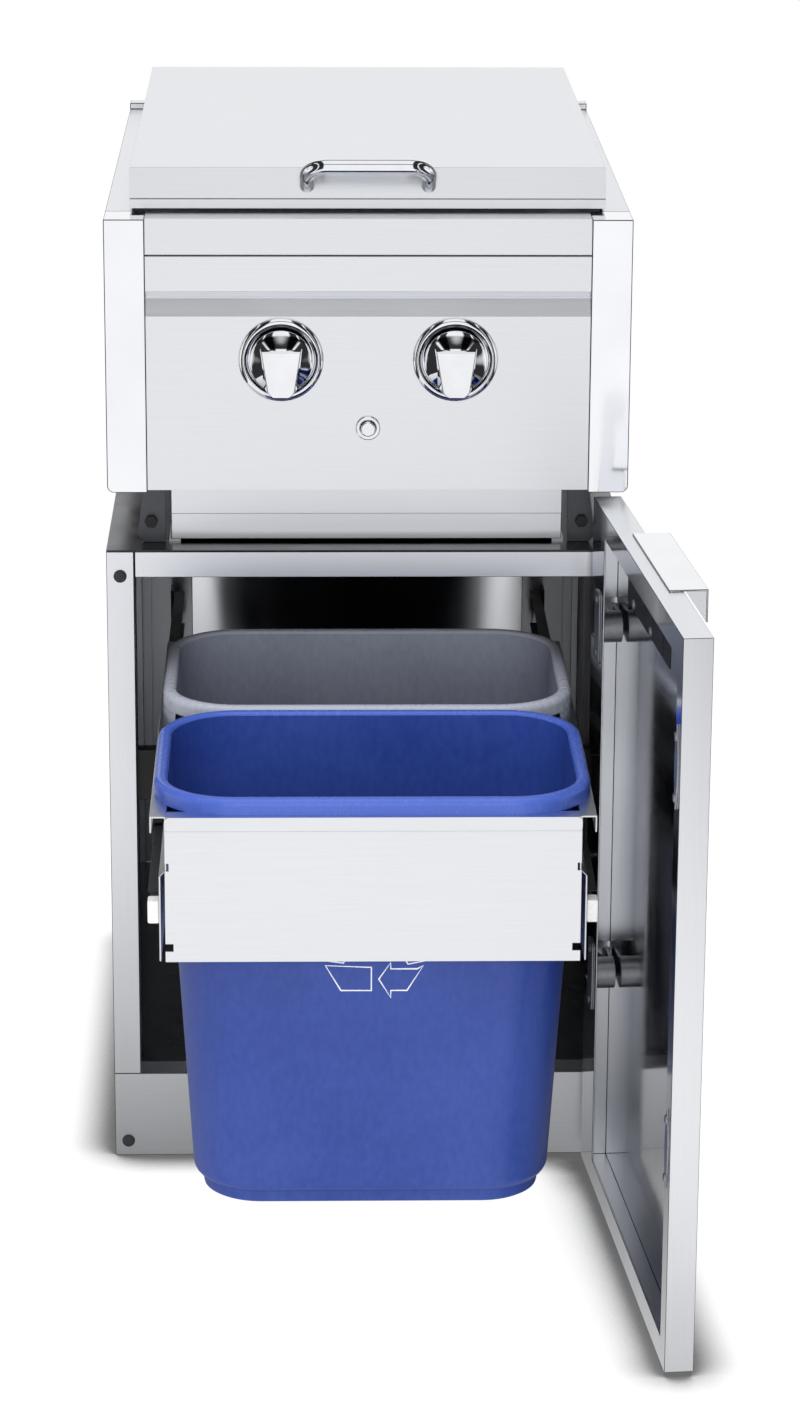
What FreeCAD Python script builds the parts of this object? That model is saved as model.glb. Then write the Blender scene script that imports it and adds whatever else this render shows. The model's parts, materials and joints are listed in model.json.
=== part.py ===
"""Outdoor kitchen cabinet with a drop-in double side burner and a pull-out carrier for two bins.

Millimetres. +Z is up, the front faces -Y, and the origin is the middle of the base, on the floor.
It stands as photographed: lid shut, door open, carrier pulled out.
"""
import math
import os
from types import SimpleNamespace

import FreeCAD
import Part
import Sketcher

SIZES = {
    # cabinet
    "cabinet_width": 457.0,
    "cabinet_depth": 590.0,
    "cabinet_height": 572.5,
    "sheet": 1.5,
    "stile_width": 24.0,
    "stile_depth": 30.0,
    "rail_height": 23.0,
    "rail_depth": 25.0,
    "rail_hem": 12.0,
    "seam": 1.0,
    "kick_height": 80.0,
    "sill_width": 60.0,
    "side_flange": 8.0,
    "post_width": 33.0,
    "post_depth": 15.0,
    "side_slot": 8.0,
    "back_slot": 10.0,
    "bumper_radius": 6.0,
    "bumper_bevel": 1.5,
    "bumper_inset": 22.0,
    "bumper_low": 14.0,
    # telescopic slides, from the carrier outwards
    "slide_setback": 15.0,
    "slide_spare": 10.0,
    "slide_drop": 83.0,
    "slide_height": 35.0,
    "slide_space": 13.5,
    "slide_play": 0.5,
    "bracket_space": 17.5,
    "bracket_height": 46.0,
    "bracket_length": 28.0,
    # pull-out carrier
    "pulled_out": 351.0,
    "shut_inset": 4.0,
    "slide_nose": 20.0,
    "carrier_length": 507.5,
    "carrier_drop": 128.5,
    "front_height": 124.0,
    "hem_height": 13.0,
    "hem_round": 4.0,
    "notch_side": 6.5,
    "notch_rise": 9.0,
    "flange_out": 12.0,
    "side_lip": 14.0,
    "side_jog": 5.0,
    "jog_drop": 46.0,
    "cross_height": 20.0,
    "ledge": 14.0,
    "end_block_length": 16.0,
    "end_block_height": 19.0,
    # bins
    "bin_clear": 10.0,
    "bin_wall": 2.5,
    "bin_taper": 16.0,
    "bin_corner": 48.0,
    "bin_spacing": 3.0,
    "rim_rest": 10.5,
    "rim_height": 15.0,
    "rim_overhang": 14.0,
    "foot_height": 14.0,
    "foot_inset": 4.0,
    # door, given shut, then swung about the hinge pins
    "door_hinge_gap": 6.5,
    "door_free_gap": 4.5,
    "door_thick": 24.0,
    "door_low": 5.0,
    "door_head_gap": 8.0,
    "door_gap": 4.0,
    "door_open": 94.95,
    "door_lip": 22.0,
    "hinge_lip": 62.0,
    "pull_width": 180.0,
    "pull_reach": 20.0,
    "pull_drop": 26.0,
    "hinge_drop": 54.5,
    "hinge_rise": 117.0,
    "pivot_in": 6.3,
    "pivot_deep": 18.4,
    "pin_radius": 1.6,
    "knuckle_radius": 3.5,
    "knuckle_height": 8.0,
    "knuckle_gap": 0.3,
    "running": 0.05,
    "cup_along": 37.0,
    "cup_radius": 14.0,
    "cup_plate_width": 24.0,
    "cup_plate_height": 64.0,
    "cup_plate_round": 5.0,
    "arm_base_height": 51.0,
    "screw_radius": 4.0,
    "screw_head": 1.6,
    "screw_inset": 8.0,
    "strike_length": 70.0,
    "strike_width": 14.0,
    "strike_screw": 25.0,
    "lock_inset": 66.0,
    "lock_length": 202.0,
    "lock_height": 42.5,
    "lock_slot_inset": 25.0,
    "lock_slot_rise": 3.0,
    "lock_slot_width": 6.0,
    "lock_screw": 87.0,
    "lock_screw_gap": 82.0,
    "lock_slot_height": 24.0,
    # burner
    "burner_inset": 3.5,
    "burner_lift": 60.5,
    "burner_height": 238.0,
    "burner_proud": 34.5,
    "post_face": 34.7,
    "post_back": 40.0,
    "post_round": 6.0,
    "panel_setback": 1.5,
    "panel_rise": 2.0,
    "panel_return": 24.0,
    "crease_drop": 31.0,
    "rail_drop": 62.0,
    "recess_drop": 68.0,
    "panel_drop": 83.5,
    "recess_depth": 8.0,
    "top_lean": 4.0,
    "skirt_space": 24.0,
    "firebox_front": 31.0,
    "firebox_rear_gap": 10.0,
    "firebox_rise": 7.0,
    "skirt_rear_gap": 4.0,
    "stop_height": 6.0,
    "stop_length": 20.0,
    "leg_inset": 24.0,
    "leg_top_width": 20.0,
    "leg_foot_width": 25.0,
    "leg_rise": 57.0,
    "leg_corner": 6.0,
    "leg_taper": 18.0,
    "leg_plate": 3.0,
    "bolt_rise": 19.5,
    "bolt_flats": 10.0,
    "tray_gap": 5.0,
    "tray_front": 27.0,
    "tray_rear_gap": 93.0,
    "tray_rise": 2.5,
    "tray_depth": 25.0,
    "tray_band": 22.0,
    "tray_step": 3.0,
    "runner_gap": 0.6,
    "runner_width": 10.0,
    "runner_out": 2.0,
    "knob_spacing": 149.2,
    "knob_drop": 121.0,
    "bezel_radius": 36.3,
    "bezel_thick": 4.0,
    "bezel_edge": 1.5,
    "bezel_slope": 4.0,
    "knob_base_radius": 27.0,
    "knob_base_thick": 9.0,
    "knob_gap": 5.0,
    "grip_height": 17.0,
    "grip_slope": 7.0,
    "grip_top": 18.0,
    "grip_low": 26.0,
    "grip_wide": 37.0,
    "grip_narrow": 20.0,
    "grip_side": 8.0,
    "stem_radius": 4.0,
    "stem_travel": 5.0,
    "valve_width": 24.0,
    "valve_length": 30.0,
    "manifold_side": 18.0,
    "manifold_wall": 3.0,
    "manifold_inset": 36.0,
    "manifold_rise": 25.0,
    "manifold_setback": 18.0,
    "supply_radius": 6.35,
    "supply_bend": 15.0,
    "inlet_radius": 8.0,
    "inlet_bore": 5.0,
    "inlet_length": 24.0,
    "inlet_nut": 22.0,
    "inlet_nut_thick": 6.0,
    "igniter_drop": 181.0,
    "igniter_radius": 10.5,
    "button_radius": 6.5,
    "button_proud": 5.0,
    "button_length": 16.0,
    "igniter_deep": 38.0,
    "igniter_well": 23.0,
    "pot_radius": 62.0,
    "pot_wall": 5.0,
    "pot_height": 60.0,
    "pot_rise": 60.0,
    "pot_offset": 34.6,
    "front_pot": 165.0,
    "rear_pot_gap": 160.0,
    "venturi_radius": 12.0,
    "venturi_rise": 32.0,
    "electrode_radius": 3.0,
    "electrode_gap": 8.0,
    "cap_radius": 45.0,
    "cap_thick": 8.0,
    "grate_drop": 33.0,
    "grate_bar": 8.0,
    "grate_pitch": 38.0,
    # lid
    "lid_over": 2.5,
    "lid_front": 3.0,
    "lid_tail": 8.0,
    "lid_lift": 3.0,
    "lid_lip": 10.0,
    "lid_height": 34.0,
    "lid_slant": 8.0,
    "handle_width": 117.0,
    "handle_radius": 6.5,
    "handle_bend": 18.0,
    "handle_reach": 33.0,
    "handle_seat": 10.0,
    "handle_tilt": 37.0,
    "lid_pivot_up": 9.0,
    "lid_pin_radius": 3.0,
    "lid_ear": 4.0,
    "lid_ear_top": 5.0,
}

doc = FreeCAD.newDocument("outdoor_kitchen_cabinet")
sheet = doc.addObject("Spreadsheet::Sheet", "Sizes")
for row, (alias, value) in enumerate(SIZES.items(), start=1):
    sheet.set(f"A{row}", alias)
    sheet.set(f"B{row}", str(value))
    sheet.setAlias(f"B{row}", alias)
doc.recompute()


class Dim:
    """A length that carries its value and the sheet expression it comes from."""

    def __init__(self, text, value):
        self.text = text
        self.value = float(value)

    @staticmethod
    def of(other):
        return other if isinstance(other, Dim) else Dim(repr(float(other)), other)

    def __add__(self, other):
        other = Dim.of(other)
        return Dim(f"({self.text} + {other.text})", self.value + other.value)

    def __sub__(self, other):
        other = Dim.of(other)
        return Dim(f"({self.text} - {other.text})", self.value - other.value)

    def __mul__(self, other):
        other = Dim.of(other)
        return Dim(f"({self.text} * {other.text})", self.value * other.value)

    def __truediv__(self, other):
        other = Dim.of(other)
        return Dim(f"({self.text} / {other.text})", self.value / other.value)

    def __neg__(self):
        return Dim(f"(0 - {self.text})", -self.value)

    def __radd__(self, other):
        return Dim.of(other) + self

    def __rsub__(self, other):
        return Dim.of(other) - self

    def __rmul__(self, other):
        return Dim.of(other) * self


s = SimpleNamespace(**{name: Dim(f"Sizes.{name}", sheet.get(name)) for name in SIZES})
zero = Dim.of(0)
pieces = {}
LEFT, RIGHT = -1, 1
NAMES = {LEFT: "left", RIGHT: "right"}
UP = FreeCAD.Vector(0, 0, 1)
LEFTWARDS = FreeCAD.Vector(-1, 0, 0)
TURNS = {
    "x": FreeCAD.Rotation(FreeCAD.Vector(0, 1, 0), 90),
    "y": FreeCAD.Rotation(FreeCAD.Vector(1, 0, 0), -90),
    "z": FreeCAD.Rotation(),
}
ROOT = -1
START, END = 1, 2


def bind(obj, prop, dim):
    """Ties one property of an object to the sheet."""
    obj.setExpression(prop, Dim.of(dim).text)


def place(obj, x, y, z):
    bind(obj, "Placement.Base.x", x)
    bind(obj, "Placement.Base.y", y)
    bind(obj, "Placement.Base.z", z)
    return obj


def keep(label, obj):
    """Names a finished sub-part; its label names its file."""
    obj.Label = label
    pieces[label] = obj
    return obj


def block(x0, x1, y0, y1, z0, z1):
    """A box between two corners."""
    obj = doc.addObject("Part::Box", "Block")
    bind(obj, "Length", Dim.of(x1) - x0)
    bind(obj, "Width", Dim.of(y1) - y0)
    bind(obj, "Height", Dim.of(z1) - z0)
    return place(obj, x0, y0, z0)


def rod(axis, x, y, z, radius, length):
    """A cylinder that starts at a point and runs along +X, +Y or +Z."""
    obj = doc.addObject("Part::Cylinder", "Rod")
    obj.Placement.Rotation = TURNS[axis]
    bind(obj, "Radius", radius)
    bind(obj, "Height", length)
    return place(obj, x, y, z)


def cone(axis, x, y, z, radius, end_radius, length):
    obj = doc.addObject("Part::Cone", "Taper")
    obj.Placement.Rotation = TURNS[axis]
    bind(obj, "Radius1", radius)
    bind(obj, "Radius2", end_radius)
    bind(obj, "Height", length)
    return place(obj, x, y, z)


def hexagon(axis, x, y, z, flats, length):
    """A hexagonal head or nut, given across its flats."""
    obj = doc.addObject("Part::Prism", "Hex")
    obj.Polygon = 6
    obj.Placement.Rotation = TURNS[axis]
    bind(obj, "Circumradius", flats / 3 ** 0.5)
    bind(obj, "Height", length)
    return place(obj, x, y, z)


def elbow(x, y, z, bend, radius, start_angle):
    """A quarter of a bent round bar, level, from start_angle on round the point (x, y, z)."""
    obj = doc.addObject("Part::Torus", "Elbow")
    obj.Angle3 = 90
    obj.Placement.Rotation = FreeCAD.Rotation(UP, start_angle)
    bind(obj, "Radius1", bend)
    bind(obj, "Radius2", radius)
    return place(obj, x, y, z)


def cut(base, *tools):
    obj = doc.addObject("Part::Cut", "Cut")
    obj.Base = base
    obj.Tool = tools[0] if len(tools) == 1 else join(*tools)
    return obj


def join(*parts):
    obj = doc.addObject("Part::MultiFuse", "Join")
    obj.Shapes = list(parts)
    return obj


def common(first, second):
    obj = doc.addObject("Part::Common", "Common")
    obj.Base = first
    obj.Tool = second
    return obj


def group(*parts):
    """Separate solids that share one node."""
    obj = doc.addObject("Part::Compound", "Group")
    obj.Links = list(parts)
    return obj


def sketch_on(body, plane, offset):
    """A sketch on one of the body's origin planes, lifted along the plane's normal."""
    sketch = body.newObject("Sketcher::SketchObject", "Profile")
    role = {f.Role: f for f in body.Origin.OriginFeatures}
    sketch.AttachmentSupport = [(role[plane], "")]
    sketch.MapMode = "FlatFace"
    bind(sketch, "AttachmentOffset.Base.z", offset)
    return sketch


def constrain(sketch, dim, *what):
    """Adds a dimension to a sketch and ties it to the sheet."""
    index = sketch.addConstraint(Sketcher.Constraint(*what, dim.value))
    bind(sketch, f"Constraints[{index}]", dim)


def pin_point(sketch, geometry, where, u, v):
    """Fixes one point of a sketch at (u, v) from the sketch's origin."""
    constrain(sketch, Dim.of(u), "DistanceX", ROOT, START, geometry, where)
    constrain(sketch, Dim.of(v), "DistanceY", ROOT, START, geometry, where)


def polygon(sketch, points):
    """A closed outline of straight lines."""
    flat = [FreeCAD.Vector(Dim.of(u).value, Dim.of(v).value, 0) for u, v in points]
    count = len(points)
    for i in range(count):
        sketch.addGeometry(Part.LineSegment(flat[i], flat[(i + 1) % count]))
    for i in range(count):
        sketch.addConstraint(Sketcher.Constraint("Coincident", i, END, (i + 1) % count, START))
    for i, (u, v) in enumerate(points):
        pin_point(sketch, i, START, u, v)


def rounded_rectangle(sketch, x0, x1, y0, y1, radius):
    """A rectangle with four equal round corners."""
    left, right, low, high, r = (Dim.of(d).value for d in (x0, x1, y0, y1, radius))
    vec = FreeCAD.Vector
    first = sketch.GeometryCount
    lines = [
        (vec(left + r, low, 0), vec(right - r, low, 0)),
        (vec(right, low + r, 0), vec(right, high - r, 0)),
        (vec(right - r, high, 0), vec(left + r, high, 0)),
        (vec(left, high - r, 0), vec(left, low + r, 0)),
    ]
    corners = [(right - r, low + r), (right - r, high - r), (left + r, high - r), (left + r, low + r)]
    for start, end in lines:
        sketch.addGeometry(Part.LineSegment(start, end))
    for i, (x, y) in enumerate(corners):
        circle = Part.Circle(vec(x, y, 0), UP, r)
        begin = math.radians(-90 + 90 * i)
        sketch.addGeometry(Part.ArcOfCircle(circle, begin, begin + math.pi / 2))
    add = sketch.addConstraint
    arcs = first + 4
    for i in range(4):
        add(Sketcher.Constraint("Tangent", first + i, END, arcs + i, START))
        add(Sketcher.Constraint("Tangent", arcs + i, END, first + (i + 1) % 4, START))
        add(Sketcher.Constraint("Horizontal" if i % 2 == 0 else "Vertical", first + i))
    for i in range(1, 4):
        add(Sketcher.Constraint("Equal", arcs, arcs + i))
    constrain(sketch, Dim.of(radius), "Radius", arcs)
    edges = (("DistanceY", y0), ("DistanceX", x1), ("DistanceY", y1), ("DistanceX", x0))
    for i, (axis, dim) in enumerate(edges):
        constrain(sketch, Dim.of(dim), axis, ROOT, START, first + i, START)


def lens(sketch, x, y, half_width, half_length):
    """Two equal arcs that meet in a point above and below (x, y)."""
    radius = (half_length * half_length + half_width * half_width) / (half_width * 2)
    reach = (radius - half_width).value
    spread = math.asin(half_length.value / radius.value)
    for offset, middle in ((-reach, 0.0), (reach, math.pi)):
        circle = Part.Circle(FreeCAD.Vector(x.value + offset, y.value, 0), UP, radius.value)
        sketch.addGeometry(Part.ArcOfCircle(circle, middle - spread, middle + spread))
    sketch.addConstraint(Sketcher.Constraint("Coincident", 0, END, 1, START))
    sketch.addConstraint(Sketcher.Constraint("Coincident", 1, END, 0, START))
    pin_point(sketch, 0, START, x, y - half_length)
    pin_point(sketch, 1, START, x, y + half_length)
    constrain(sketch, radius, "Radius", 0)
    constrain(sketch, radius, "Radius", 1)


def pad(body, sketch, length):
    feature = body.newObject("PartDesign::Pad", "Pad")
    feature.Profile = sketch
    bind(feature, "Length", length)
    return feature


def extrusion(draw, plane, start, length, *outline):
    """A drawn outline made solid: XY runs up, YZ runs along +X, XZ runs along +Y."""
    body = doc.addObject("PartDesign::Body", "Extrusion")
    offset = -(Dim.of(start) + length) if plane == "XZ_Plane" else start
    sketch = sketch_on(body, plane, offset)
    draw(sketch, *outline)
    pad(body, sketch, length)
    return body


def bar(plane, points, start, length):
    """A constant section with straight sides."""
    return extrusion(polygon, plane, start, length, points)


def plate(plane, u0, u1, v0, v1, radius, start, length):
    """A flat piece with round corners."""
    return extrusion(rounded_rectangle, plane, start, length, u0, u1, v0, v1, radius)


def turned(x, z, points):
    """A turned piece round the Y axis through (x, z); its points are (y, radius)."""
    body = doc.addObject("PartDesign::Body", "Turned")
    sketch = sketch_on(body, "YZ_Plane", x)
    polygon(sketch, [(y, z + radius) for y, radius in points])
    near, far = (FreeCAD.Vector(Dim.of(points[i][0]).value, z.value, 0) for i in (0, -1))
    axis = sketch.addGeometry(Part.LineSegment(near, far), True)
    sketch.addConstraint(Sketcher.Constraint("Horizontal", axis))
    pin_point(sketch, axis, START, points[0][0], z)
    constrain(sketch, Dim.of(points[-1][0]), "DistanceX", ROOT, START, axis, END)
    feature = body.newObject("PartDesign::Revolution", "Revolution")
    feature.Profile = sketch
    feature.ReferenceAxis = (sketch, ["Axis0"])
    feature.Angle = 360
    return body


def loft(body, kind, sections):
    """A loft through rounded rectangles, each (z, x0, x1, y0, y1, radius)."""
    sketches = []
    for z, x0, x1, y0, y1, radius in sections:
        sketch = sketch_on(body, "XY_Plane", z)
        rounded_rectangle(sketch, x0, x1, y0, y1, radius)
        sketches.append(sketch)
    feature = body.newObject(kind, "Loft")
    feature.Profile = sketches[0]
    feature.Sections = sketches[1:]
    feature.Ruled = True
    return feature


def sides(side, near, far):
    """The X limits of a piece on the left (-1) or right (+1) of the middle."""
    return (-far, -near) if side < 0 else (Dim.of(near), Dim.of(far))


half = s.cabinet_width / 2
front = -s.cabinet_depth / 2
back = s.cabinet_depth / 2
top = s.cabinet_height
under_deck = top - s.sheet
floor_top = s.kick_height - s.sheet
inner_half = half - s.stile_width


def cabinet_frame():
    """Stiles, sides, rail, kick plate, floor, deck and bumpers: folded sheet."""
    for side in (LEFT, RIGHT):
        outer, inner = half * side, inner_half * side
        skin = s.sheet * side
        fold = front + s.stile_depth
        stile = bar("XY_Plane", [
            (outer, front), (outer, fold), (outer - skin, fold), (outer - skin, front + s.sheet),
            (inner + skin, front + s.sheet), (inner + skin, fold), (inner, fold), (inner, front),
        ], s.kick_height, under_deck - s.kick_height)
        keep(f"{NAMES[side]}_stile", stile)
        lip = outer - s.side_flange * side
        panel = bar("XY_Plane", [
            (outer, fold), (outer, back), (lip, back), (lip, back - s.sheet),
            (outer - skin, back - s.sheet), (outer - skin, fold),
        ], zero, under_deck)
        keep(f"{NAMES[side]}_side_panel", panel)
    reach = inner_half - s.seam
    low = under_deck - s.rail_height
    keep("top_rail", bar("YZ_Plane", [
        (front, low), (front, under_deck), (front + s.rail_depth, under_deck),
        (front + s.rail_depth, under_deck - s.sheet), (front + s.sheet, under_deck - s.sheet),
        (front + s.sheet, low + s.sheet), (front + s.rail_hem, low + s.sheet), (front + s.rail_hem, low),
    ], -reach, 2 * reach))
    keep("kick_plate", cut(
        block(-half, half, front, front + s.stile_depth, zero, s.kick_height),
        block(-half + s.sheet, half - s.sheet, front + s.sheet, front + 2 * s.stile_depth,
              s.sheet, floor_top),
    ))
    tread = block(-half + s.sheet, half - s.sheet, front + s.sheet, back - s.sheet,
                  floor_top - s.sheet, floor_top)
    foot = s.sill_width / 2
    sill = bar("YZ_Plane", [
        (-foot, zero), (-foot, floor_top), (-foot + s.sheet, floor_top), (-foot + s.sheet, s.sheet),
        (foot - s.sheet, s.sheet), (foot - s.sheet, floor_top), (foot, floor_top), (foot, zero),
    ], -half + s.sheet, s.cabinet_width - 2 * s.sheet)
    keep("floor_panel", join(tread, sill))
    keep("deck_panel", block(-half, half, front, back, under_deck, top))
    dots = []
    for z in (under_deck - s.bumper_inset, s.bumper_low):
        dots.append(cone("y", -half + s.stile_width / 2, front - s.door_gap, z,
                         s.bumper_radius - s.bumper_bevel, s.bumper_radius, s.door_gap))
    keep("door_bumpers", group(*dots))


def cabinet_back():
    """Two rear posts and the back panel, with open slots between them for air."""
    post_outer = half - s.side_flange - s.side_slot
    post_inner = post_outer - s.post_width
    posts = []
    for side in (LEFT, RIGHT):
        out, into, skin = post_outer * side, post_inner * side, s.sheet * side
        fold = back - s.post_depth
        posts.append(bar("XY_Plane", [
            (out, fold), (out, back), (into, back), (into, fold), (into + skin, fold),
            (into + skin, back - s.sheet), (out - skin, back - s.sheet), (out - skin, fold),
        ], floor_top, under_deck - floor_top))
    keep("rear_posts", group(*posts))
    reach = post_inner - s.back_slot
    keep("back_panel", block(-reach, reach, back - s.sheet, back, floor_top, under_deck))


carrier_half = inner_half - s.bracket_space - s.slide_space - s.side_jog
carrier_front = front - s.pulled_out
carrier_back = carrier_front + s.carrier_length
carrier_top = top - s.carrier_drop
carrier_low = carrier_top - s.front_height
slide_inner = carrier_half + s.side_jog
slide_outer = slide_inner + s.slide_space
slide_level = carrier_top - s.slide_drop
slide_length = s.cabinet_depth - s.slide_setback - s.post_depth - s.slide_spare
slide_start = front + s.slide_setback
carrier_slide_start = carrier_front + s.slide_nose
middle_web = slide_outer - 2 * s.sheet - s.slide_play


def channel(side, web, skin, lip, drop, start):
    """One slide member: a web with two lips, running along Y."""
    near, far, edge = web * side, (web + skin) * side, lip * side
    reach = s.slide_height / 2 - drop
    low, high = slide_level - reach, slide_level + reach
    return bar("XZ_Plane", [
        (far, low), (far, high), (edge, high), (edge, high - s.sheet),
        (near, high - s.sheet), (near, low + s.sheet), (edge, low + s.sheet), (edge, low),
    ], start, slide_length)


def slides():
    """Three nested members a side, and the brackets that hold the outer one."""
    mouth = slide_inner + 2 * s.sheet
    step = s.sheet + s.slide_play
    shift = s.pulled_out + s.shut_inset
    reach = s.bracket_height / 2
    fixed, middle, carried, brackets = [], [], [], []
    for side in (LEFT, RIGHT):
        fixed.append(channel(side, slide_outer - s.sheet, s.sheet, mouth, zero, slide_start))
        middle.append(channel(side, middle_web, s.sheet, mouth, step, slide_start - shift / 2))
        carried.append(channel(side, slide_inner + s.sheet, -s.sheet, middle_web - s.slide_play,
                               2 * step + s.slide_play, carrier_slide_start))
        a, b = sides(side, slide_outer, inner_half)
        brackets.append(block(a, b, slide_start, front + s.stile_depth, slide_level - reach,
                              slide_level + reach))
        a, b = sides(side, slide_outer, slide_outer + 2 * s.sheet)
        end = back - s.post_depth
        brackets.append(block(a, b, end - s.bracket_length, end, slide_level - reach, slide_level + reach))
    keep("slide_cabinet_members", group(*fixed))
    keep("slide_middle_members", group(*middle))
    keep("slide_carrier_members", group(*carried))
    keep("slide_brackets", group(*brackets))


def carrier_front_panel():
    """A flat front with a hem folded down over its top edge and a ledge behind it."""
    face = bar("YZ_Plane", [
        (carrier_front, carrier_low), (carrier_front, carrier_top),
        (carrier_front + s.ledge, carrier_top), (carrier_front + s.ledge, carrier_top - s.sheet),
        (carrier_front + s.sheet, carrier_top - s.sheet), (carrier_front + s.sheet, carrier_low),
    ], -carrier_half, 2 * carrier_half)
    hem = plate("XZ_Plane", -carrier_half, carrier_half, carrier_top - s.hem_height, carrier_top,
                s.hem_round, carrier_front - s.sheet, s.sheet)
    tools = []
    for side in (LEFT, RIGHT):
        a, b = sides(side, carrier_half - s.sheet, carrier_half + s.sheet)
        tools.append(block(a, b, carrier_front + s.sheet, carrier_front + s.sheet + s.ledge,
                           carrier_top - 2 * s.sheet, carrier_top + s.sheet))
        for low, deep in ((carrier_low + s.notch_rise, s.notch_side),
                          (carrier_top - s.jog_drop, s.notch_side / 2)):
            a, b = sides(side, carrier_half - deep, carrier_half + s.sheet)
            tools.append(block(a, b, carrier_front - s.sheet, carrier_front + 2 * s.sheet, low,
                               low + s.notch_side))
    keep("carrier_front", cut(join(face, hem), *tools))


def carrier():
    """Front panel, two formed sides, rear panel, cross bar and the slides' end blocks."""
    carrier_front_panel()
    skin = s.sheet
    start = carrier_front + skin
    blocks = []
    for side in (LEFT, RIGHT):
        near, wall = carrier_half * side, skin * side
        brim = near + s.flange_out * side
        jog = near + s.side_jog * side
        jog_top = carrier_top - s.jog_drop
        jog_low = jog_top - s.side_jog
        keep(f"carrier_side_{NAMES[side]}", bar("XZ_Plane", [
            (near - wall, carrier_top), (brim, carrier_top), (brim, carrier_top - s.side_lip),
            (brim - wall, carrier_top - s.side_lip), (brim - wall, carrier_top - skin),
            (near, carrier_top - skin), (near, jog_top), (jog, jog_low), (jog, carrier_low),
            (jog - wall, carrier_low), (jog - wall, jog_low), (near - wall, jog_top),
        ], start, s.carrier_length - skin))
        a, b = sides(side, slide_inner, middle_web - s.slide_play)
        reach = s.end_block_height / 2
        blocks.append(block(a, b, carrier_slide_start - s.end_block_length, carrier_slide_start,
                            slide_level - reach, slide_level + reach))
    keep("slide_end_blocks", group(*blocks))
    inner = carrier_half - skin
    low = carrier_top - s.jog_drop
    keep("carrier_rear", bar("YZ_Plane", [
        (carrier_back, low), (carrier_back, carrier_top), (carrier_back - s.ledge, carrier_top),
        (carrier_back - s.ledge, carrier_top - skin), (carrier_back - skin, carrier_top - skin),
        (carrier_back - skin, low),
    ], -inner, 2 * inner))
    middle = start + bin_depth + s.bin_spacing / 2
    low = carrier_top - s.cross_height
    near, far = middle - s.cross_height / 2, middle + s.cross_height / 2
    keep("carrier_crossbar", bar("YZ_Plane", [
        (near, carrier_top), (far, carrier_top), (far, low), (far - skin, low),
        (far - skin, carrier_top - skin), (near + skin, carrier_top - skin), (near + skin, low), (near, low),
    ], -inner, 2 * inner))


bin_depth = (s.carrier_length - s.sheet - 2 * s.bin_spacing) / 2


def bin_at(label, y0):
    """A tapered tub with round corners and a rolled rim, open below, that it hangs by."""
    body = doc.addObject("PartDesign::Body", label)
    y1 = y0 + bin_depth
    reach = carrier_half + s.rim_rest
    brim = carrier_top + s.rim_height
    low = s.kick_height + s.bin_clear

    def outline(edge):
        return -reach + edge, reach - edge, y0 + edge, y1 - edge, s.bin_corner - edge

    sole = s.rim_overhang + s.bin_taper
    loft(body, "PartDesign::AdditiveLoft", [
        (low + s.foot_height, *outline(sole)), (carrier_top, *outline(s.rim_overhang)),
    ])
    foot = sketch_on(body, "XY_Plane", low)
    rounded_rectangle(foot, *outline(sole + s.foot_inset))
    pad(body, foot, s.foot_height)
    rim = sketch_on(body, "XY_Plane", carrier_top)
    rounded_rectangle(rim, *outline(zero))
    pad(body, rim, s.rim_height)
    loft(body, "PartDesign::SubtractiveLoft", [
        (low + s.bin_wall, *outline(sole + s.foot_inset + s.bin_wall)),
        (brim, *outline(s.rim_overhang + s.bin_wall)),
    ])
    roll = sketch_on(body, "XY_Plane", carrier_top)
    rounded_rectangle(roll, *outline(s.bin_wall))
    rounded_rectangle(roll, *outline(s.rim_overhang))
    groove = body.newObject("PartDesign::Pocket", "Roll")
    groove.Profile = roll
    groove.Reversed = True
    bind(groove, "Length", s.rim_height - s.bin_wall)
    keep(label, body)


def bins():
    start = carrier_front + s.sheet
    bin_at("blue_bin", start)
    bin_at("grey_bin", start + bin_depth + s.bin_spacing)


door_edge = half - s.door_hinge_gap
door_left = -half + s.door_free_gap
door_in = front - s.door_gap
door_out = door_in - s.door_thick
door_high = top + s.burner_lift - s.door_head_gap
pivot_x = door_edge - s.pivot_in
pivot_y = door_in - s.pivot_deep
cup_x = door_edge - s.cup_along
hinge_levels = (top - s.hinge_drop, s.kick_height + s.hinge_rise)


def swing(obj):
    """Turns a door piece from shut to its photographed place about the hinge pins."""
    angle = f"({s.door_open.text} * 1 deg)"
    x, y = pivot_x.text, pivot_y.text
    obj.Placement.Rotation = FreeCAD.Rotation(UP, s.door_open.value)
    obj.setExpression("Placement.Rotation.Angle", angle)
    obj.setExpression("Placement.Base.x", f"{x} - ({x} * cos({angle}) - {y} * sin({angle}))")
    obj.setExpression("Placement.Base.y", f"{y} - ({x} * sin({angle}) + {y} * cos({angle}))")
    return obj


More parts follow.
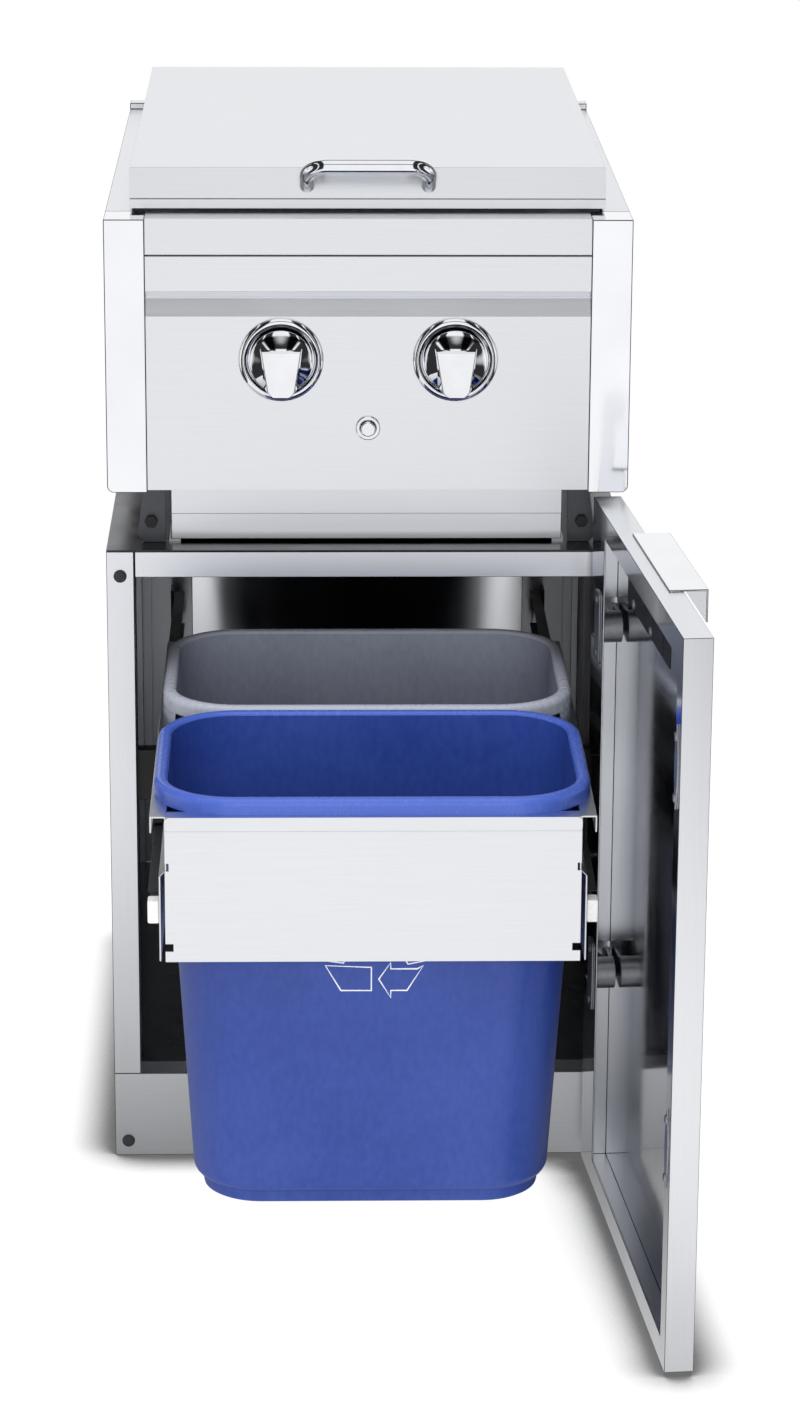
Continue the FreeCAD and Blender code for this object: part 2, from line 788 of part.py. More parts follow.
def door():
    """A folded pan with inner lips, its folded pull, strikes, lock bracket and screws."""
    skin = s.sheet
    tools = [
        block(door_left + skin, door_edge - skin, door_out + skin, door_in - skin,
              s.door_low + skin, door_high - skin),
        block(door_left + s.door_lip, door_edge - s.hinge_lip, door_in - 2 * skin, door_in + skin,
              s.door_low + s.door_lip, door_high - s.door_lip),
    ]
    for z in hinge_levels:
        reach = s.knuckle_height * 2
        tools.append(block(door_edge - s.door_lip, door_edge + skin, door_out + skin, door_in + skin,
                           z - reach, z + reach))
        tools.append(rod("y", cup_x, door_in - 2 * skin, z, s.cup_radius + s.running, 3 * skin))
    pan = cut(block(door_left, door_edge, door_out, door_in, s.door_low, door_high), *tools)
    keep("door_pan", swing(pan))
    hold = door_in - s.door_thick / 2
    pull_out = door_out - s.pull_reach
    pull = bar("YZ_Plane", [
        (hold, door_high), (hold, door_high + skin), (pull_out, door_high + skin),
        (pull_out, door_high - s.pull_drop), (pull_out + skin, door_high - s.pull_drop),
        (pull_out + skin, door_high),
    ], (door_left + door_edge - s.pull_width) / 2, s.pull_width)
    keep("door_pull", swing(group(pull)))
    strikes, screws = [], []
    strike_x = door_left + s.door_lip / 2
    for z in hinge_levels:
        strikes.append(extrusion(lens, "XZ_Plane", door_in, skin, strike_x, z, s.strike_width / 2,
                                 s.strike_length / 2))
        for x, reach in ((strike_x, s.strike_screw), (cup_x, s.cup_plate_height / 2 - s.screw_inset)):
            for level in (z - reach, z + reach):
                screws.append(rod("y", x, door_in + skin, level, s.screw_radius, s.screw_head))
    keep("strike_plates", swing(group(*strikes)))
    lock = door_left + s.lock_inset
    lock_top = door_high - skin
    lock_low = lock_top - s.lock_height
    behind = door_in - skin
    for x in (lock + s.lock_screw, lock + s.lock_screw + s.lock_screw_gap):
        screws.append(rod("y", x, behind, lock_low + s.screw_radius + skin, s.screw_radius, s.screw_head))
    keep("door_screws", swing(group(*screws)))
    slot = lock + s.lock_slot_inset
    slot_low = lock_low + s.lock_slot_rise
    keep("door_top_bracket", swing(cut(
        block(lock, lock + s.lock_length, behind - skin, behind, lock_low, lock_top),
        block(slot, slot + s.lock_slot_width, behind - 2 * skin, door_in, slot_low,
              slot_low + s.lock_slot_height),
    )))


def hinges():
    """Cups with their plates in the door, arms on the stile, and the pins that join them."""
    skin = s.sheet
    knuckle = s.knuckle_height
    thick = s.pin_radius
    cups, arms, pins = [], [], []
    for z in hinge_levels:
        hole = rod("z", pivot_x, pivot_y, z - 2 * knuckle, s.pin_radius + s.running, 4 * knuckle)
        leaves = []
        for low in (z - knuckle * 3 / 2, z + knuckle / 2 + s.knuckle_gap):
            length = knuckle - s.knuckle_gap
            leaves.append(rod("z", pivot_x, pivot_y, low, s.knuckle_radius, length))
            leaves.append(block(cup_x, pivot_x, pivot_y - thick, pivot_y + thick, low, low + length))
        cup = rod("y", cup_x, pivot_y - thick, z, s.cup_radius, s.pivot_deep + thick)
        wide, tall = s.cup_plate_width / 2, s.cup_plate_height / 2
        face = plate("XZ_Plane", cup_x - wide, cup_x + wide, z - tall, z + tall, s.cup_plate_round,
                     door_in, skin)
        cups.append(cut(join(cup, face, *leaves), hole))
        near = inner_half - 2 * skin
        neck = pivot_x - s.knuckle_radius
        fold = front + s.stile_depth
        arm = bar("XY_Plane", [
            (near, fold), (near, front - skin), (neck - skin, pivot_y - thick), (pivot_x, pivot_y - thick),
            (pivot_x, pivot_y + thick), (neck + skin, pivot_y + thick), (inner_half, front - 2 * skin),
            (inner_half, fold),
        ], z - knuckle / 2, knuckle)
        barrel = rod("z", pivot_x, pivot_y, z - knuckle / 2, s.knuckle_radius, knuckle)
        tall = s.arm_base_height / 2
        base = block(near, inner_half, front + skin, fold, z - tall, z + tall)
        arms.append(cut(join(arm, barrel, base), hole))
        pins.append(rod("z", pivot_x, pivot_y, z - knuckle * 3 / 2, s.pin_radius, knuckle * 3))
    keep("hinge_cups", swing(group(*cups)))
    keep("hinge_arms", group(*arms))
    keep("hinge_pins", swing(group(*pins)))


burner_face = front - s.burner_proud
panel_face = burner_face + s.panel_setback
burner_low = top + s.burner_lift
burner_high = burner_low + s.burner_height
skirt_low = burner_low + s.post_round
burner_half = half - s.burner_inset
post_inner = burner_half - s.post_face
box_half = burner_half - s.skirt_space
box_front = front + s.firebox_front
box_back = back - s.firebox_rear_gap
box_low = burner_low + s.firebox_rise
skirt_back = back - s.skirt_rear_gap
post_end = burner_face + s.post_back
lid_half = box_half + s.lid_over
knob_places = (-s.knob_spacing / 2, s.knob_spacing / 2)
knob_level = burner_high - s.knob_drop
igniter_level = burner_high - s.igniter_drop
venturi_level = box_low + s.venturi_rise
supply_x = -(box_half + burner_half - s.sheet) / 2
supply_y = front - s.stem_travel + s.manifold_setback
supply_level = knob_level + s.manifold_rise


def round_low_corner(obj):
    """Rounds the lower outer corner of a burner post."""
    doc.recompute()
    bounds = obj.Shape.BoundBox
    far = bounds.XMax if bounds.XMax > -bounds.XMin else bounds.XMin
    chosen = []
    for index, edge in enumerate(obj.Shape.Edges, start=1):
        ends = [v.Point for v in edge.Vertexes]
        if all(math.isclose(p.x, far) and math.isclose(p.z, bounds.ZMin) for p in ends):
            chosen.append((index, s.post_round.value, s.post_round.value))
    fillet = doc.addObject("Part::Fillet", "Round")
    fillet.Base = obj
    fillet.Edges = chosen
    return fillet


def burner_skin():
    """Posts, side rails with their stops, rear rail and firebox."""
    skin = s.sheet
    for side in (LEFT, RIGHT):
        a, b = sides(side, post_inner, burner_half)
        solid = round_low_corner(block(a, b, burner_face, post_end, burner_low, burner_high))
        inner = block(a + skin, b - skin, burner_face + skin, post_end + skin, skirt_low, burner_high - skin)
        keep(f"burner_post_{NAMES[side]}", cut(solid, inner))
        out, into = burner_half * side, box_half * side
        fold = out - skin * side
        rail = bar("XZ_Plane", [
            (out, skirt_low), (out, burner_high), (into, burner_high), (into, burner_high - skin),
            (fold, burner_high - skin), (fold, skirt_low),
        ], post_end, skirt_back - post_end)
        a, b = sides(side, lid_half + s.stop_height, burner_half)
        stop = block(a, b, skirt_back - s.stop_length, skirt_back, burner_high, burner_high + s.stop_height)
        keep(f"side_rail_{NAMES[side]}", join(rail, stop))
    shelf = burner_high - skin
    rear = bar("YZ_Plane", [
        (skirt_back, box_low), (skirt_back, shelf), (box_back, shelf), (box_back, shelf - skin),
        (skirt_back - skin, shelf - skin), (skirt_back - skin, box_low),
    ], -burner_half + skin, 2 * (burner_half - skin))
    keep("rear_rail", cut(rear, rod("y", supply_x, skirt_back - 2 * skin, supply_level,
                                    s.supply_radius + s.running, 3 * skin)))
    ports = [rod("y", x, box_front - skin, venturi_level, s.venturi_radius + s.running, 3 * skin)
             for x in knob_places]
    keep("firebox", cut(
        block(-box_half, box_half, box_front, box_back, box_low, shelf - skin),
        block(-box_half + skin, box_half - skin, box_front + skin, box_back - skin, box_low + skin,
              burner_high),
        *ports,
    ))


def control_panel():
    """One folded sheet: leaning top band, groove, flat face and a return along the bottom."""
    skin = s.sheet
    lean = panel_face + s.top_lean
    dent = panel_face + s.recess_depth
    crease, lower_crease = burner_high - s.crease_drop, burner_high - s.rail_drop
    recess, level = burner_high - s.recess_drop, burner_high - s.panel_drop
    low = burner_low + s.panel_rise
    hem = panel_face + s.panel_return
    inside = panel_face + skin
    sheet_bar = bar("YZ_Plane", [
        (box_front, burner_high), (lean, burner_high), (panel_face, crease), (panel_face, lower_crease),
        (dent, recess), (panel_face, level), (panel_face, low), (hem, low), (hem, low + skin),
        (inside, low + skin), (inside, level + skin / 2), (dent + 2 * skin, recess),
        (inside, lower_crease + skin), (inside, crease), (lean + skin, burner_high - skin),
        (box_front, burner_high - skin),
    ], -post_inner, 2 * post_inner)
    holes = [rod("y", x, panel_face - skin, knob_level, 2 * s.stem_radius, 3 * skin) for x in knob_places]
    neck = s.button_radius + skin + s.runner_gap
    holes.append(rod("y", zero, panel_face - skin, igniter_level, neck, 3 * skin))
    keep("control_panel", cut(sheet_bar, *holes))


def gas_supply():
    """Manifold, and the supply tube from its end round the firebox to an inlet at the rear."""
    wall = s.manifold_wall
    reach = box_half - s.manifold_inset
    side = s.manifold_side / 2
    keep("gas_manifold", cut(
        block(-reach, reach, supply_y - side, supply_y + side, supply_level - side, supply_level + side),
        block(-reach + wall, reach - wall, supply_y - side + wall, supply_y + side - wall,
              supply_level - side + wall, supply_level + side - wall),
    ))
    turn_x, turn_y = supply_x + s.supply_bend, supply_y + s.supply_bend
    nut_end = skirt_back + s.inlet_nut_thick
    tube = join(
        rod("x", turn_x, supply_y, supply_level, s.supply_radius, -reach - turn_x),
        elbow(turn_x, turn_y, supply_level, s.supply_bend, s.supply_radius, 180),
        rod("y", supply_x, turn_y, supply_level, s.supply_radius, skirt_back - turn_y),
        hexagon("y", supply_x, skirt_back, supply_level, s.inlet_nut, s.inlet_nut_thick),
        rod("y", supply_x, nut_end, supply_level, s.inlet_radius, s.inlet_length),
    )
    bore = rod("y", supply_x, nut_end, supply_level, s.inlet_bore, s.inlet_length + s.sheet)
    keep("gas_inlet", cut(tube, bore))


def valves():
    """A valve under the manifold behind each knob, with its outlet at the burner's tube and its stem."""
    start = front - s.stem_travel
    reach = s.valve_width / 2
    pipe = 2 * s.stem_radius
    shells = []
    for side, x in zip((LEFT, RIGHT), knob_places):
        shell = block(x - reach, x + reach, start, start + s.valve_length, knob_level - reach,
                      supply_level - s.manifold_side / 2)
        leg = rod("z", x, supply_y, venturi_level - pipe, pipe, knob_level - venturi_level)
        nozzle = rod("y", x, supply_y, venturi_level, s.stem_radius, box_front - s.stem_travel - supply_y)
        bore = rod("y", x, start - s.sheet, knob_level, s.stem_radius + s.running, 3 * s.stem_travel)
        shells.append(cut(join(shell, leg, nozzle), bore))
        stem_front = knob_front + s.sheet
        keep(f"valve_stem_{NAMES[side]}", rod("y", x, stem_front, knob_level, s.stem_radius,
                                              start + s.stem_travel - stem_front))
    keep("gas_valves", group(*shells))


def burners():
    """Two cast pots on feet, each with a venturi tube to the front, a cap and a spark electrode."""
    floor = box_low + s.sheet
    pot_low = box_low + s.pot_rise
    pot_high = pot_low + s.pot_height
    tube_front = box_front - s.stem_travel
    heads, caps, electrodes = [], [], []
    spots = ((LEFT, knob_places[0], back - s.rear_pot_gap), (RIGHT, knob_places[1], front + s.front_pot))
    for side, x, y in spots:
        middle = s.pot_offset * side
        pot = cut(
            rod("z", middle, y, pot_low, s.pot_radius, s.pot_height),
            rod("z", middle, y, pot_low + s.pot_wall, s.pot_radius - s.pot_wall, s.pot_height),
        )
        riser = rod("z", x, y, venturi_level, s.venturi_radius, pot_low - venturi_level + s.sheet)
        tube = rod("y", x, tube_front, venturi_level, s.venturi_radius, y + s.venturi_radius - tube_front)
        foot = rod("z", middle, y, floor, s.venturi_radius, pot_low - floor + s.sheet)
        heads.append(join(pot, riser, tube, foot))
        caps.append(cone("z", middle, y, pot_high, s.pot_radius, s.cap_radius, s.cap_thick))
        spark = middle - (s.pot_radius + s.electrode_gap) * side
        electrodes.append(rod("z", spark, y, floor, s.electrode_radius, pot_high - floor))
    keep("burner_heads", group(*heads))
    keep("burner_caps", group(*caps))
    keep("igniter_electrodes", group(*electrodes))


def grate():
    """Bars along Y on three cross bars that reach from wall to wall of the firebox."""
    reach = box_half - s.sheet
    thick = s.grate_bar / 2
    y0, y1 = box_front + s.sheet, box_back - s.sheet
    level = burner_high - s.grate_drop
    count = int((2 * reach.value - s.grate_bar.value) // s.grate_pitch.value)
    bars = []
    for i in range(count):
        x = s.grate_pitch * (i - (count - 1) / 2)
        bars.append(block(x - thick, x + thick, y0 + s.grate_pitch, y1 - s.grate_pitch, level,
                          level + s.grate_bar))
    for y in (y0 + 2 * s.grate_pitch, (y0 + y1) / 2, y1 - 2 * s.grate_pitch):
        bars.append(block(-reach, reach, y - thick, y + thick, level - thick, level + thick))
    keep("cooking_grate", join(*bars))


bezel_face = panel_face - s.bezel_thick
knob_back = bezel_face - s.knob_gap
knob_front = knob_back - s.knob_base_thick
grip_front = knob_front - s.grip_height


def knobs():
    """Two turned bezels, and two knobs: a round base with a leaning grip that narrows downwards."""
    skin = s.sheet
    well = s.knob_base_radius + skin
    rings = []
    for side, x in zip((LEFT, RIGHT), knob_places):
        rings.append(turned(x, knob_level, [
            (panel_face, 2 * s.stem_radius), (panel_face, s.bezel_radius),
            (panel_face - s.bezel_edge, s.bezel_radius), (bezel_face, s.bezel_radius - s.bezel_edge),
            (bezel_face, s.bezel_radius - s.bezel_slope), (bezel_face + s.bezel_edge, well),
            (panel_face - skin, well), (panel_face - skin, 2 * s.stem_radius),
        ]))
        base = turned(x, knob_level, [
            (knob_back, s.stem_radius + s.running), (knob_back, s.knob_base_radius),
            (knob_front + skin, s.knob_base_radius), (knob_front, s.knob_base_radius - skin),
            (knob_front, s.stem_radius + s.running),
        ])
        high, low = knob_level + s.grip_top, knob_level - s.grip_low
        top_front = grip_front + s.grip_slope
        outline = bar("XZ_Plane", [
            (x - s.grip_wide / 2, high), (x + s.grip_wide / 2, high), (x + s.grip_narrow / 2, low),
            (x - s.grip_narrow / 2, low),
        ], grip_front, knob_back - grip_front)
        profile = bar("YZ_Plane", [
            (knob_back - skin, high), (top_front, high - skin), (grip_front, low + s.grip_side),
            (knob_front, low), (knob_back - skin, low),
        ], x - s.grip_wide / 2, s.grip_wide)
        bore = rod("y", x, knob_front - s.stem_travel, knob_level, s.stem_radius + s.running,
                   s.knob_base_thick + s.stem_travel)
        keep(f"knob_{NAMES[side]}", join(base, cut(common(outline, profile), bore)))
    keep("knob_bezels", group(*rings))


def igniter():
    """A push button in a ringed body behind the panel."""
    face = panel_face - s.bezel_thick / 2
    neck = s.button_radius + s.sheet + s.runner_gap / 2
    body = join(
        rod("y", zero, face, igniter_level, s.igniter_radius, s.bezel_thick / 2),
        rod("y", zero, panel_face, igniter_level, neck, s.igniter_deep),
    )
    well = rod("y", zero, face - s.sheet, igniter_level, s.button_radius + s.runner_gap / 2, s.igniter_well)
    keep("igniter_body", cut(body, well))
    keep("igniter_button", rod("y", zero, face - s.button_proud, igniter_level, s.button_radius,
                               s.button_length))


def legs():
    """Four leg brackets on the firebox, each with a bolt."""
    plates, bolts = [], []
    inner = box_half - s.leg_inset
    for y0, bolt_y in ((box_front - s.leg_plate, box_front - s.leg_plate - s.bolt_flats / 2),
                       (box_back, box_back + s.leg_plate)):
        for side in (LEFT, RIGHT):
            near = inner * side
            shank = near + s.leg_top_width * side
            foot = near + s.leg_foot_width * side
            plates.append(bar("XZ_Plane", [
                (near, top), (near, burner_low + s.leg_rise), (shank, burner_low + s.leg_rise),
                (shank, burner_low - s.leg_taper), (foot, top + s.leg_corner),
                (foot - s.leg_corner * side, top),
            ], y0, s.leg_plate))
            bolts.append(hexagon("y", near + s.leg_foot_width / 2 * side, bolt_y, top + s.bolt_rise,
                                 s.bolt_flats, s.bolt_flats / 2))
    keep("leg_brackets", group(*plates))
    keep("leg_bolts", group(*bolts))


def drip_tray():
    """A pan with a stepped front, on two flat strips along the deck."""
    skin = s.sheet
    reach = box_half - s.leg_inset - s.tray_gap
    y0, y1 = front + s.tray_front, back - s.tray_rear_gap
    body_front = y0 + s.tray_step
    inner_front = body_front + skin
    low = top + s.tray_rise
    brim = low + s.tray_depth
    pan = cut(
        block(-reach, reach, body_front, y1, low, brim),
        block(-reach + skin, reach - skin, inner_front, y1 - skin, low + skin, brim + skin),
    )
    face = block(-reach, reach, y0, inner_front, brim - skin, brim + s.tray_band)
    keep("drip_tray", join(pan, face))
    strips = []
    for side in (LEFT, RIGHT):
        a, b = sides(side, reach + s.runner_out - s.runner_width, reach + s.runner_out)
        strips.append(block(a, b, inner_front, y1, top, low - s.runner_gap / 2))
    keep("tray_runners", group(*strips))


lid_low = burner_high + s.lid_lift
lid_lip = lid_low + s.lid_lip
lid_high = lid_low + s.lid_height
lid_front = front + s.lid_front
lid_knee = lid_front + s.lid_slant


def lid():
    """A folded pan with a slanted front, and its hinge pins and ears at the rear."""
    skin = s.sheet
    tail = back + s.lid_tail
    outer = bar("YZ_Plane", [
        (lid_front, lid_low), (lid_front, lid_lip), (lid_knee, lid_high), (tail, lid_high), (tail, lid_low),
    ], -lid_half, 2 * lid_half)
    inner = bar("YZ_Plane", [
        (lid_front + skin, lid_low - skin), (lid_front + skin, lid_lip), (lid_knee + skin, lid_high - skin),
        (tail - skin, lid_high - skin), (tail - skin, lid_low - skin),
    ], -lid_half + skin, 2 * (lid_half - skin))
    pivot_z = lid_low + s.lid_pivot_up
    pin = s.lid_pin_radius
    near = box_half - s.lid_ear
    tools = [rod("x", -lid_half - skin, back, pivot_z, pin + s.running, 2 * (lid_half + skin))]
    ears, pins = [], []
    shelf = burner_high - skin
    for side in (LEFT, RIGHT):
        a, b = sides(side, near - s.lid_ear / 2, lid_half - skin)
        tools.append(block(a, b, tail - 2 * skin, tail + skin, lid_low - skin, lid_high - 2 * skin))
        a, b = sides(side, near, box_half)
        ear = bar("YZ_Plane", [
            (box_back, shelf), (back - 2 * pin, pivot_z), (back - pin, pivot_z + s.lid_ear_top),
            (back + pin, pivot_z + s.lid_ear_top), (back + 2 * pin, pivot_z), (skirt_back, shelf),
        ], a, s.lid_ear)
        ears.append(cut(ear, rod("x", a - skin, back, pivot_z, pin + s.running, s.lid_ear + 2 * skin)))
        a, b = sides(side, near, lid_half + pin)
        pins.append(rod("x", a, back, pivot_z, pin, b - a))
    keep("lid_shell", cut(outer, inner, *tools))
    keep("lid_hinge_ears", group(*ears))
    keep("lid_hinge_pins", group(*pins))


def handle():
    """A round bar bent into a D that leans upwards, with both legs on the slanted front of the lid."""
    reach = s.handle_width / 2 - s.handle_radius
    bend = s.handle_bend
    legs_end = bend - s.handle_reach
    parts = [rod("x", bend - reach, -s.handle_reach, zero, s.handle_radius, 2 * (reach - bend))]
    for side, start_angle in ((LEFT, 180), (RIGHT, -90)):
        parts.append(elbow((reach - bend) * side, legs_end, zero, bend, s.handle_radius, start_angle))
        parts.append(rod("y", reach * side, legs_end, zero, s.handle_radius, 2 * s.handle_radius - legs_end))
    seat_y = lid_front + s.lid_slant * s.handle_seat / (s.lid_height - s.lid_lip)
    leaning = place(join(*parts), zero, seat_y, lid_lip + s.handle_seat)
    leaning.Placement.Rotation = FreeCAD.Rotation(LEFTWARDS, s.handle_tilt.value)
    leaning.setExpression("Placement.Rotation.Angle", f"{s.handle_tilt.text} * 1 deg")
    inside = bar("YZ_Plane", [
        (lid_front, lid_low), (lid_front, lid_lip), (lid_knee, lid_high), (back, lid_high), (back, lid_low),
    ], -lid_half, 2 * lid_half)
    keep("lid_handle", cut(leaning, inside))


cabinet_frame()
cabinet_back()
slides()
carrier()
bins()
door()
hinges()
burner_skin()
control_panel()
gas_supply()
valves()
burners()
grate()
knobs()
igniter()
legs()
drip_tray()
lid()
handle()
doc.recompute()

for obj in doc.Objects:
    if any(word in obj.State for word in ("Invalid", "Error")):
        raise RuntimeError(f"{obj.Name} ({obj.Label}) did not build: {obj.State}")
for label, obj in pieces.items():
    if obj.Shape.isNull() or not obj.Shape.isValid() or not obj.Shape.Solids:
        raise RuntimeError(f"{label} has no valid solid")

os.makedirs("parts", exist_ok=True)
for label, obj in pieces.items():
    obj.Shape.exportStep(f"parts/{label}.step")
print(f"{len(pieces)} sub-parts written")
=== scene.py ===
import json
import math

import bpy
from bpy.props import FloatProperty, FloatVectorProperty, IntProperty, PointerProperty
from mathutils import Matrix, Vector

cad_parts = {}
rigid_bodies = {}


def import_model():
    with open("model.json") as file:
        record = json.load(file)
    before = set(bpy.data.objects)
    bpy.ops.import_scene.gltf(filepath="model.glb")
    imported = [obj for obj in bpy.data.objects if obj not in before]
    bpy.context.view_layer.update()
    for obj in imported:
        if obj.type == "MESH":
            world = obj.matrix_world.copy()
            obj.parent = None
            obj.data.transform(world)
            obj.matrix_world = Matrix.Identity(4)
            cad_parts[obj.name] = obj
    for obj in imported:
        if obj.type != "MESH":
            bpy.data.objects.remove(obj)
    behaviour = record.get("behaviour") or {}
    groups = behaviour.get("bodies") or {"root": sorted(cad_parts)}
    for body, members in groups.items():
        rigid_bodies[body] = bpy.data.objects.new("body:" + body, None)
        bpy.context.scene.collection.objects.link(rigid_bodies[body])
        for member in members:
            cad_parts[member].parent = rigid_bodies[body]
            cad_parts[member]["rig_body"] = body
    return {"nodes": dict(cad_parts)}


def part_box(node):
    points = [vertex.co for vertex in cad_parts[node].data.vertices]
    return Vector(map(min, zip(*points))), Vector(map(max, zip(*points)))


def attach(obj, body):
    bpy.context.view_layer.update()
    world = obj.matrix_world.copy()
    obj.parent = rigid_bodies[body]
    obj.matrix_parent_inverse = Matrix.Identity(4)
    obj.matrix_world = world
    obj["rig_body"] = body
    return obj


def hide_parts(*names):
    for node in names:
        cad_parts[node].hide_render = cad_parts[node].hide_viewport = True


bl_info = {
    "name": "Outdoor kitchen cabinet",
    "version": (1, 0, 0),
    "blender": (4, 2, 0),
    "location": "View3D > Sidebar > Cabinet",
    "description": "Dresses the packed outdoor kitchen cabinet and sets it in a white studio",
    "category": "Object",
}

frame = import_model()
MM = 0.001

# Points within MERGE are one, faces within FLAT are one, and folds under SMOOTH are shaded round.
MERGE = 0.01 * MM
FLAT = math.radians(0.5)
SMOOTH = math.radians(35)
# A face looks along an axis where its normal is past FACING there. Past SQUARE it is flat sheet, not an edge.
FACING = 0.9
SQUARE = 0.97


def linear(text):
    """An sRGB hex value as linear red, green and blue."""
    values = [int(text[i:i + 2], 16) / 255 for i in (1, 3, 5)]
    return tuple(v / 12.92 if v <= 0.04045 else ((v + 0.055) / 1.055) ** 2.4 for v in values)


# One row a finish: colour in its troughs and on its crests, metallic, roughness low and high, index of
# refraction, size of its grain in mm along X, Y and Z, height of its relief in mm.
FINISHES = {
    # Brushed sheet: long fine scratches that smear the studio into soft streaks. The real scratches are
    # finer than a pixel, so they are drawn a few times coarser.
    "stainless_brushed_along_x": ("#EBEDF1", "#F1F3F7", 1.0, 0.28, 0.33, 1.5, (70, 1.2, 1.2), 0.003),
    "stainless_brushed_along_y": ("#EBEDF1", "#F1F3F7", 1.0, 0.28, 0.33, 1.5, (1.2, 70, 1.2), 0.003),
    "stainless_brushed_along_z": ("#EBEDF1", "#F1F3F7", 1.0, 0.28, 0.33, 1.5, (1.2, 1.2, 70), 0.003),
    # Polished sheet: near mirror, with cloudy wiping marks.
    "stainless_polished": ("#F0F2F6", "#F9FAFD", 1.0, 0.05, 0.10, 1.5, (60, 60, 60), 0.0),
    # Rounded edges of sheet, and the faces of the crease and lip grooves: painted dark, a painted reflection
    # of the dark of the room on the edges and painted shade in the grooves, so they read as thin dark lines.
    "stainless_painted_dark_reflection_and_shade": ("#3A3C40", "#4A4C50", 1.0, 0.15, 0.25, 1.5, (8, 8, 8), 0.0),
    # Inside of the door and of the back panel: rolled mirror with a slight wave, so it shows long soft
    # reflections.
    "stainless_bright_rolled": ("#E0E2E6", "#EAECF0", 1.0, 0.07, 0.13, 1.5, (25, 25, 160), 0.015),
    # Inner walls of the cabinet: sheet painted near black as painted shade, a little cloudy.
    "stainless_painted_shade_inner": ("#1C1E22", "#292B30", 1.0, 0.18, 0.32, 1.5, (30, 30, 120), 0.015),
    # Top and floor of the cabinet: mill sheet painted dark grey as painted shade, a little cloudy.
    "stainless_mill_sheet_painted_shade": ("#3E4044", "#505257", 1.0, 0.16, 0.30, 1.5, (30, 30, 120), 0.015),
    # Chrome plate: hard mirror with faint haze.
    "chrome_plated": ("#E6E8EC", "#F2F4F8", 1.0, 0.03, 0.07, 1.5, (20, 20, 20), 0.0),
    # Zinc plate: dull bluish grey with small crystals.
    "zinc_plated_steel": ("#9A9CA1", "#B4B6BA", 1.0, 0.32, 0.48, 1.5, (4, 4, 4), 0.01),
    # Galvanised bracket: darker, matt and mottled.
    "galvanised_steel": ("#626367", "#77787D", 1.0, 0.42, 0.58, 1.5, (7, 7, 7), 0.01),
    # Black dip coat: dark, half gloss, with a slight orange peel.
    "black_coated_steel": ("#08090A", "#121315", 0.0, 0.34, 0.50, 1.5, (3, 3, 3), 0.02),
    # Cast iron: dark grey, rough and sandy.
    "enamelled_cast_iron": ("#17181A", "#2A2B2D", 0.0, 0.45, 0.65, 1.5, (2, 2, 2), 0.08),
    # Machined brass: warm yellow metal with fine turning marks.
    "machined_brass": ("#B08D45", "#C9A860", 1.0, 0.22, 0.34, 1.5, (1.5, 12, 1.5), 0.01),
    # Rubber: near black, matt.
    "moulded_rubber": ("#26262A", "#333338", 0.0, 0.60, 0.75, 1.52, (2, 2, 2), 0.02),
    # Nylon: white, satin, a little uneven.
    "white_nylon": ("#DADBD8", "#EFF0EE", 0.0, 0.35, 0.50, 1.53, (4, 4, 4), 0.01),
    # Polypropylene tubs: satin with fine moulded grain and slow colour drift.
    "blue_polypropylene": ("#28408F", "#334C9D", 0.0, 0.30, 0.42, 1.49, (5, 5, 9), 0.02),
    "grey_polypropylene": ("#8A8FA1", "#999EAF", 0.0, 0.32, 0.45, 1.49, (5, 5, 9), 0.02),
    # Their rims: the same plastic, a little smoother, painted paler as a painted highlight.
    "blue_polypropylene_rim": ("#455FB8", "#4A64BC", 0.0, 0.24, 0.30, 1.49, (5, 5, 9), 0.004),
    "grey_polypropylene_rim": ("#A9ADBA", "#AFB3C0", 0.0, 0.26, 0.32, 1.49, (5, 5, 9), 0.004),
    # Printed white ink: flat white, a little uneven.
    "white_ink": ("#DFE3EE", "#F2F4FA", 0.0, 0.45, 0.60, 1.5, (3, 3, 3), 0.0),
}
# Every finish also drifts in soft clouds, this many to a metre. Grain and clouds add up to about 1, and the
# colour runs from trough to crest over this range of their sum.
CLOUDS = 9.0
DRIFT = (0.7, 1.3)

# The printed outline of chasing arrows on the blue bin, as X and height in mm, and how flat its line is.
SIGN = (
    ((-38.7, 309.3), (-25.9, 287.0), (-1.0, 286.9), (-1.0, 307.6)),
    ((5.1, 297.1), (14.8, 311.7), (14.9, 306.2), (36.5, 306.2), (41.5, 309.0), (28.3, 286.9), (15.0, 286.9),
     (15.0, 280.4)),
    ((-38.5, 313.5), (-24.0, 311.5), (-8.5, 338.5), (-3.0, 335.0), (-7.0, 353.0), (-25.0, 348.5),
     (-19.5, 345.0)),
    ((29.0, 310.5), (42.0, 313.0), (19.5, 351.5), (-1.0, 351.5), (9.0, 334.5), (14.5, 336.0)),
)
SIGN_FLATNESS = 0.2

# Pressed grooves: width and depth in mm.
HEM_GROOVE = (0.8, 0.4)
CREASE_GROOVE = (1.3, 1.1)
LIP_GROOVE = (0.9, 0.5)

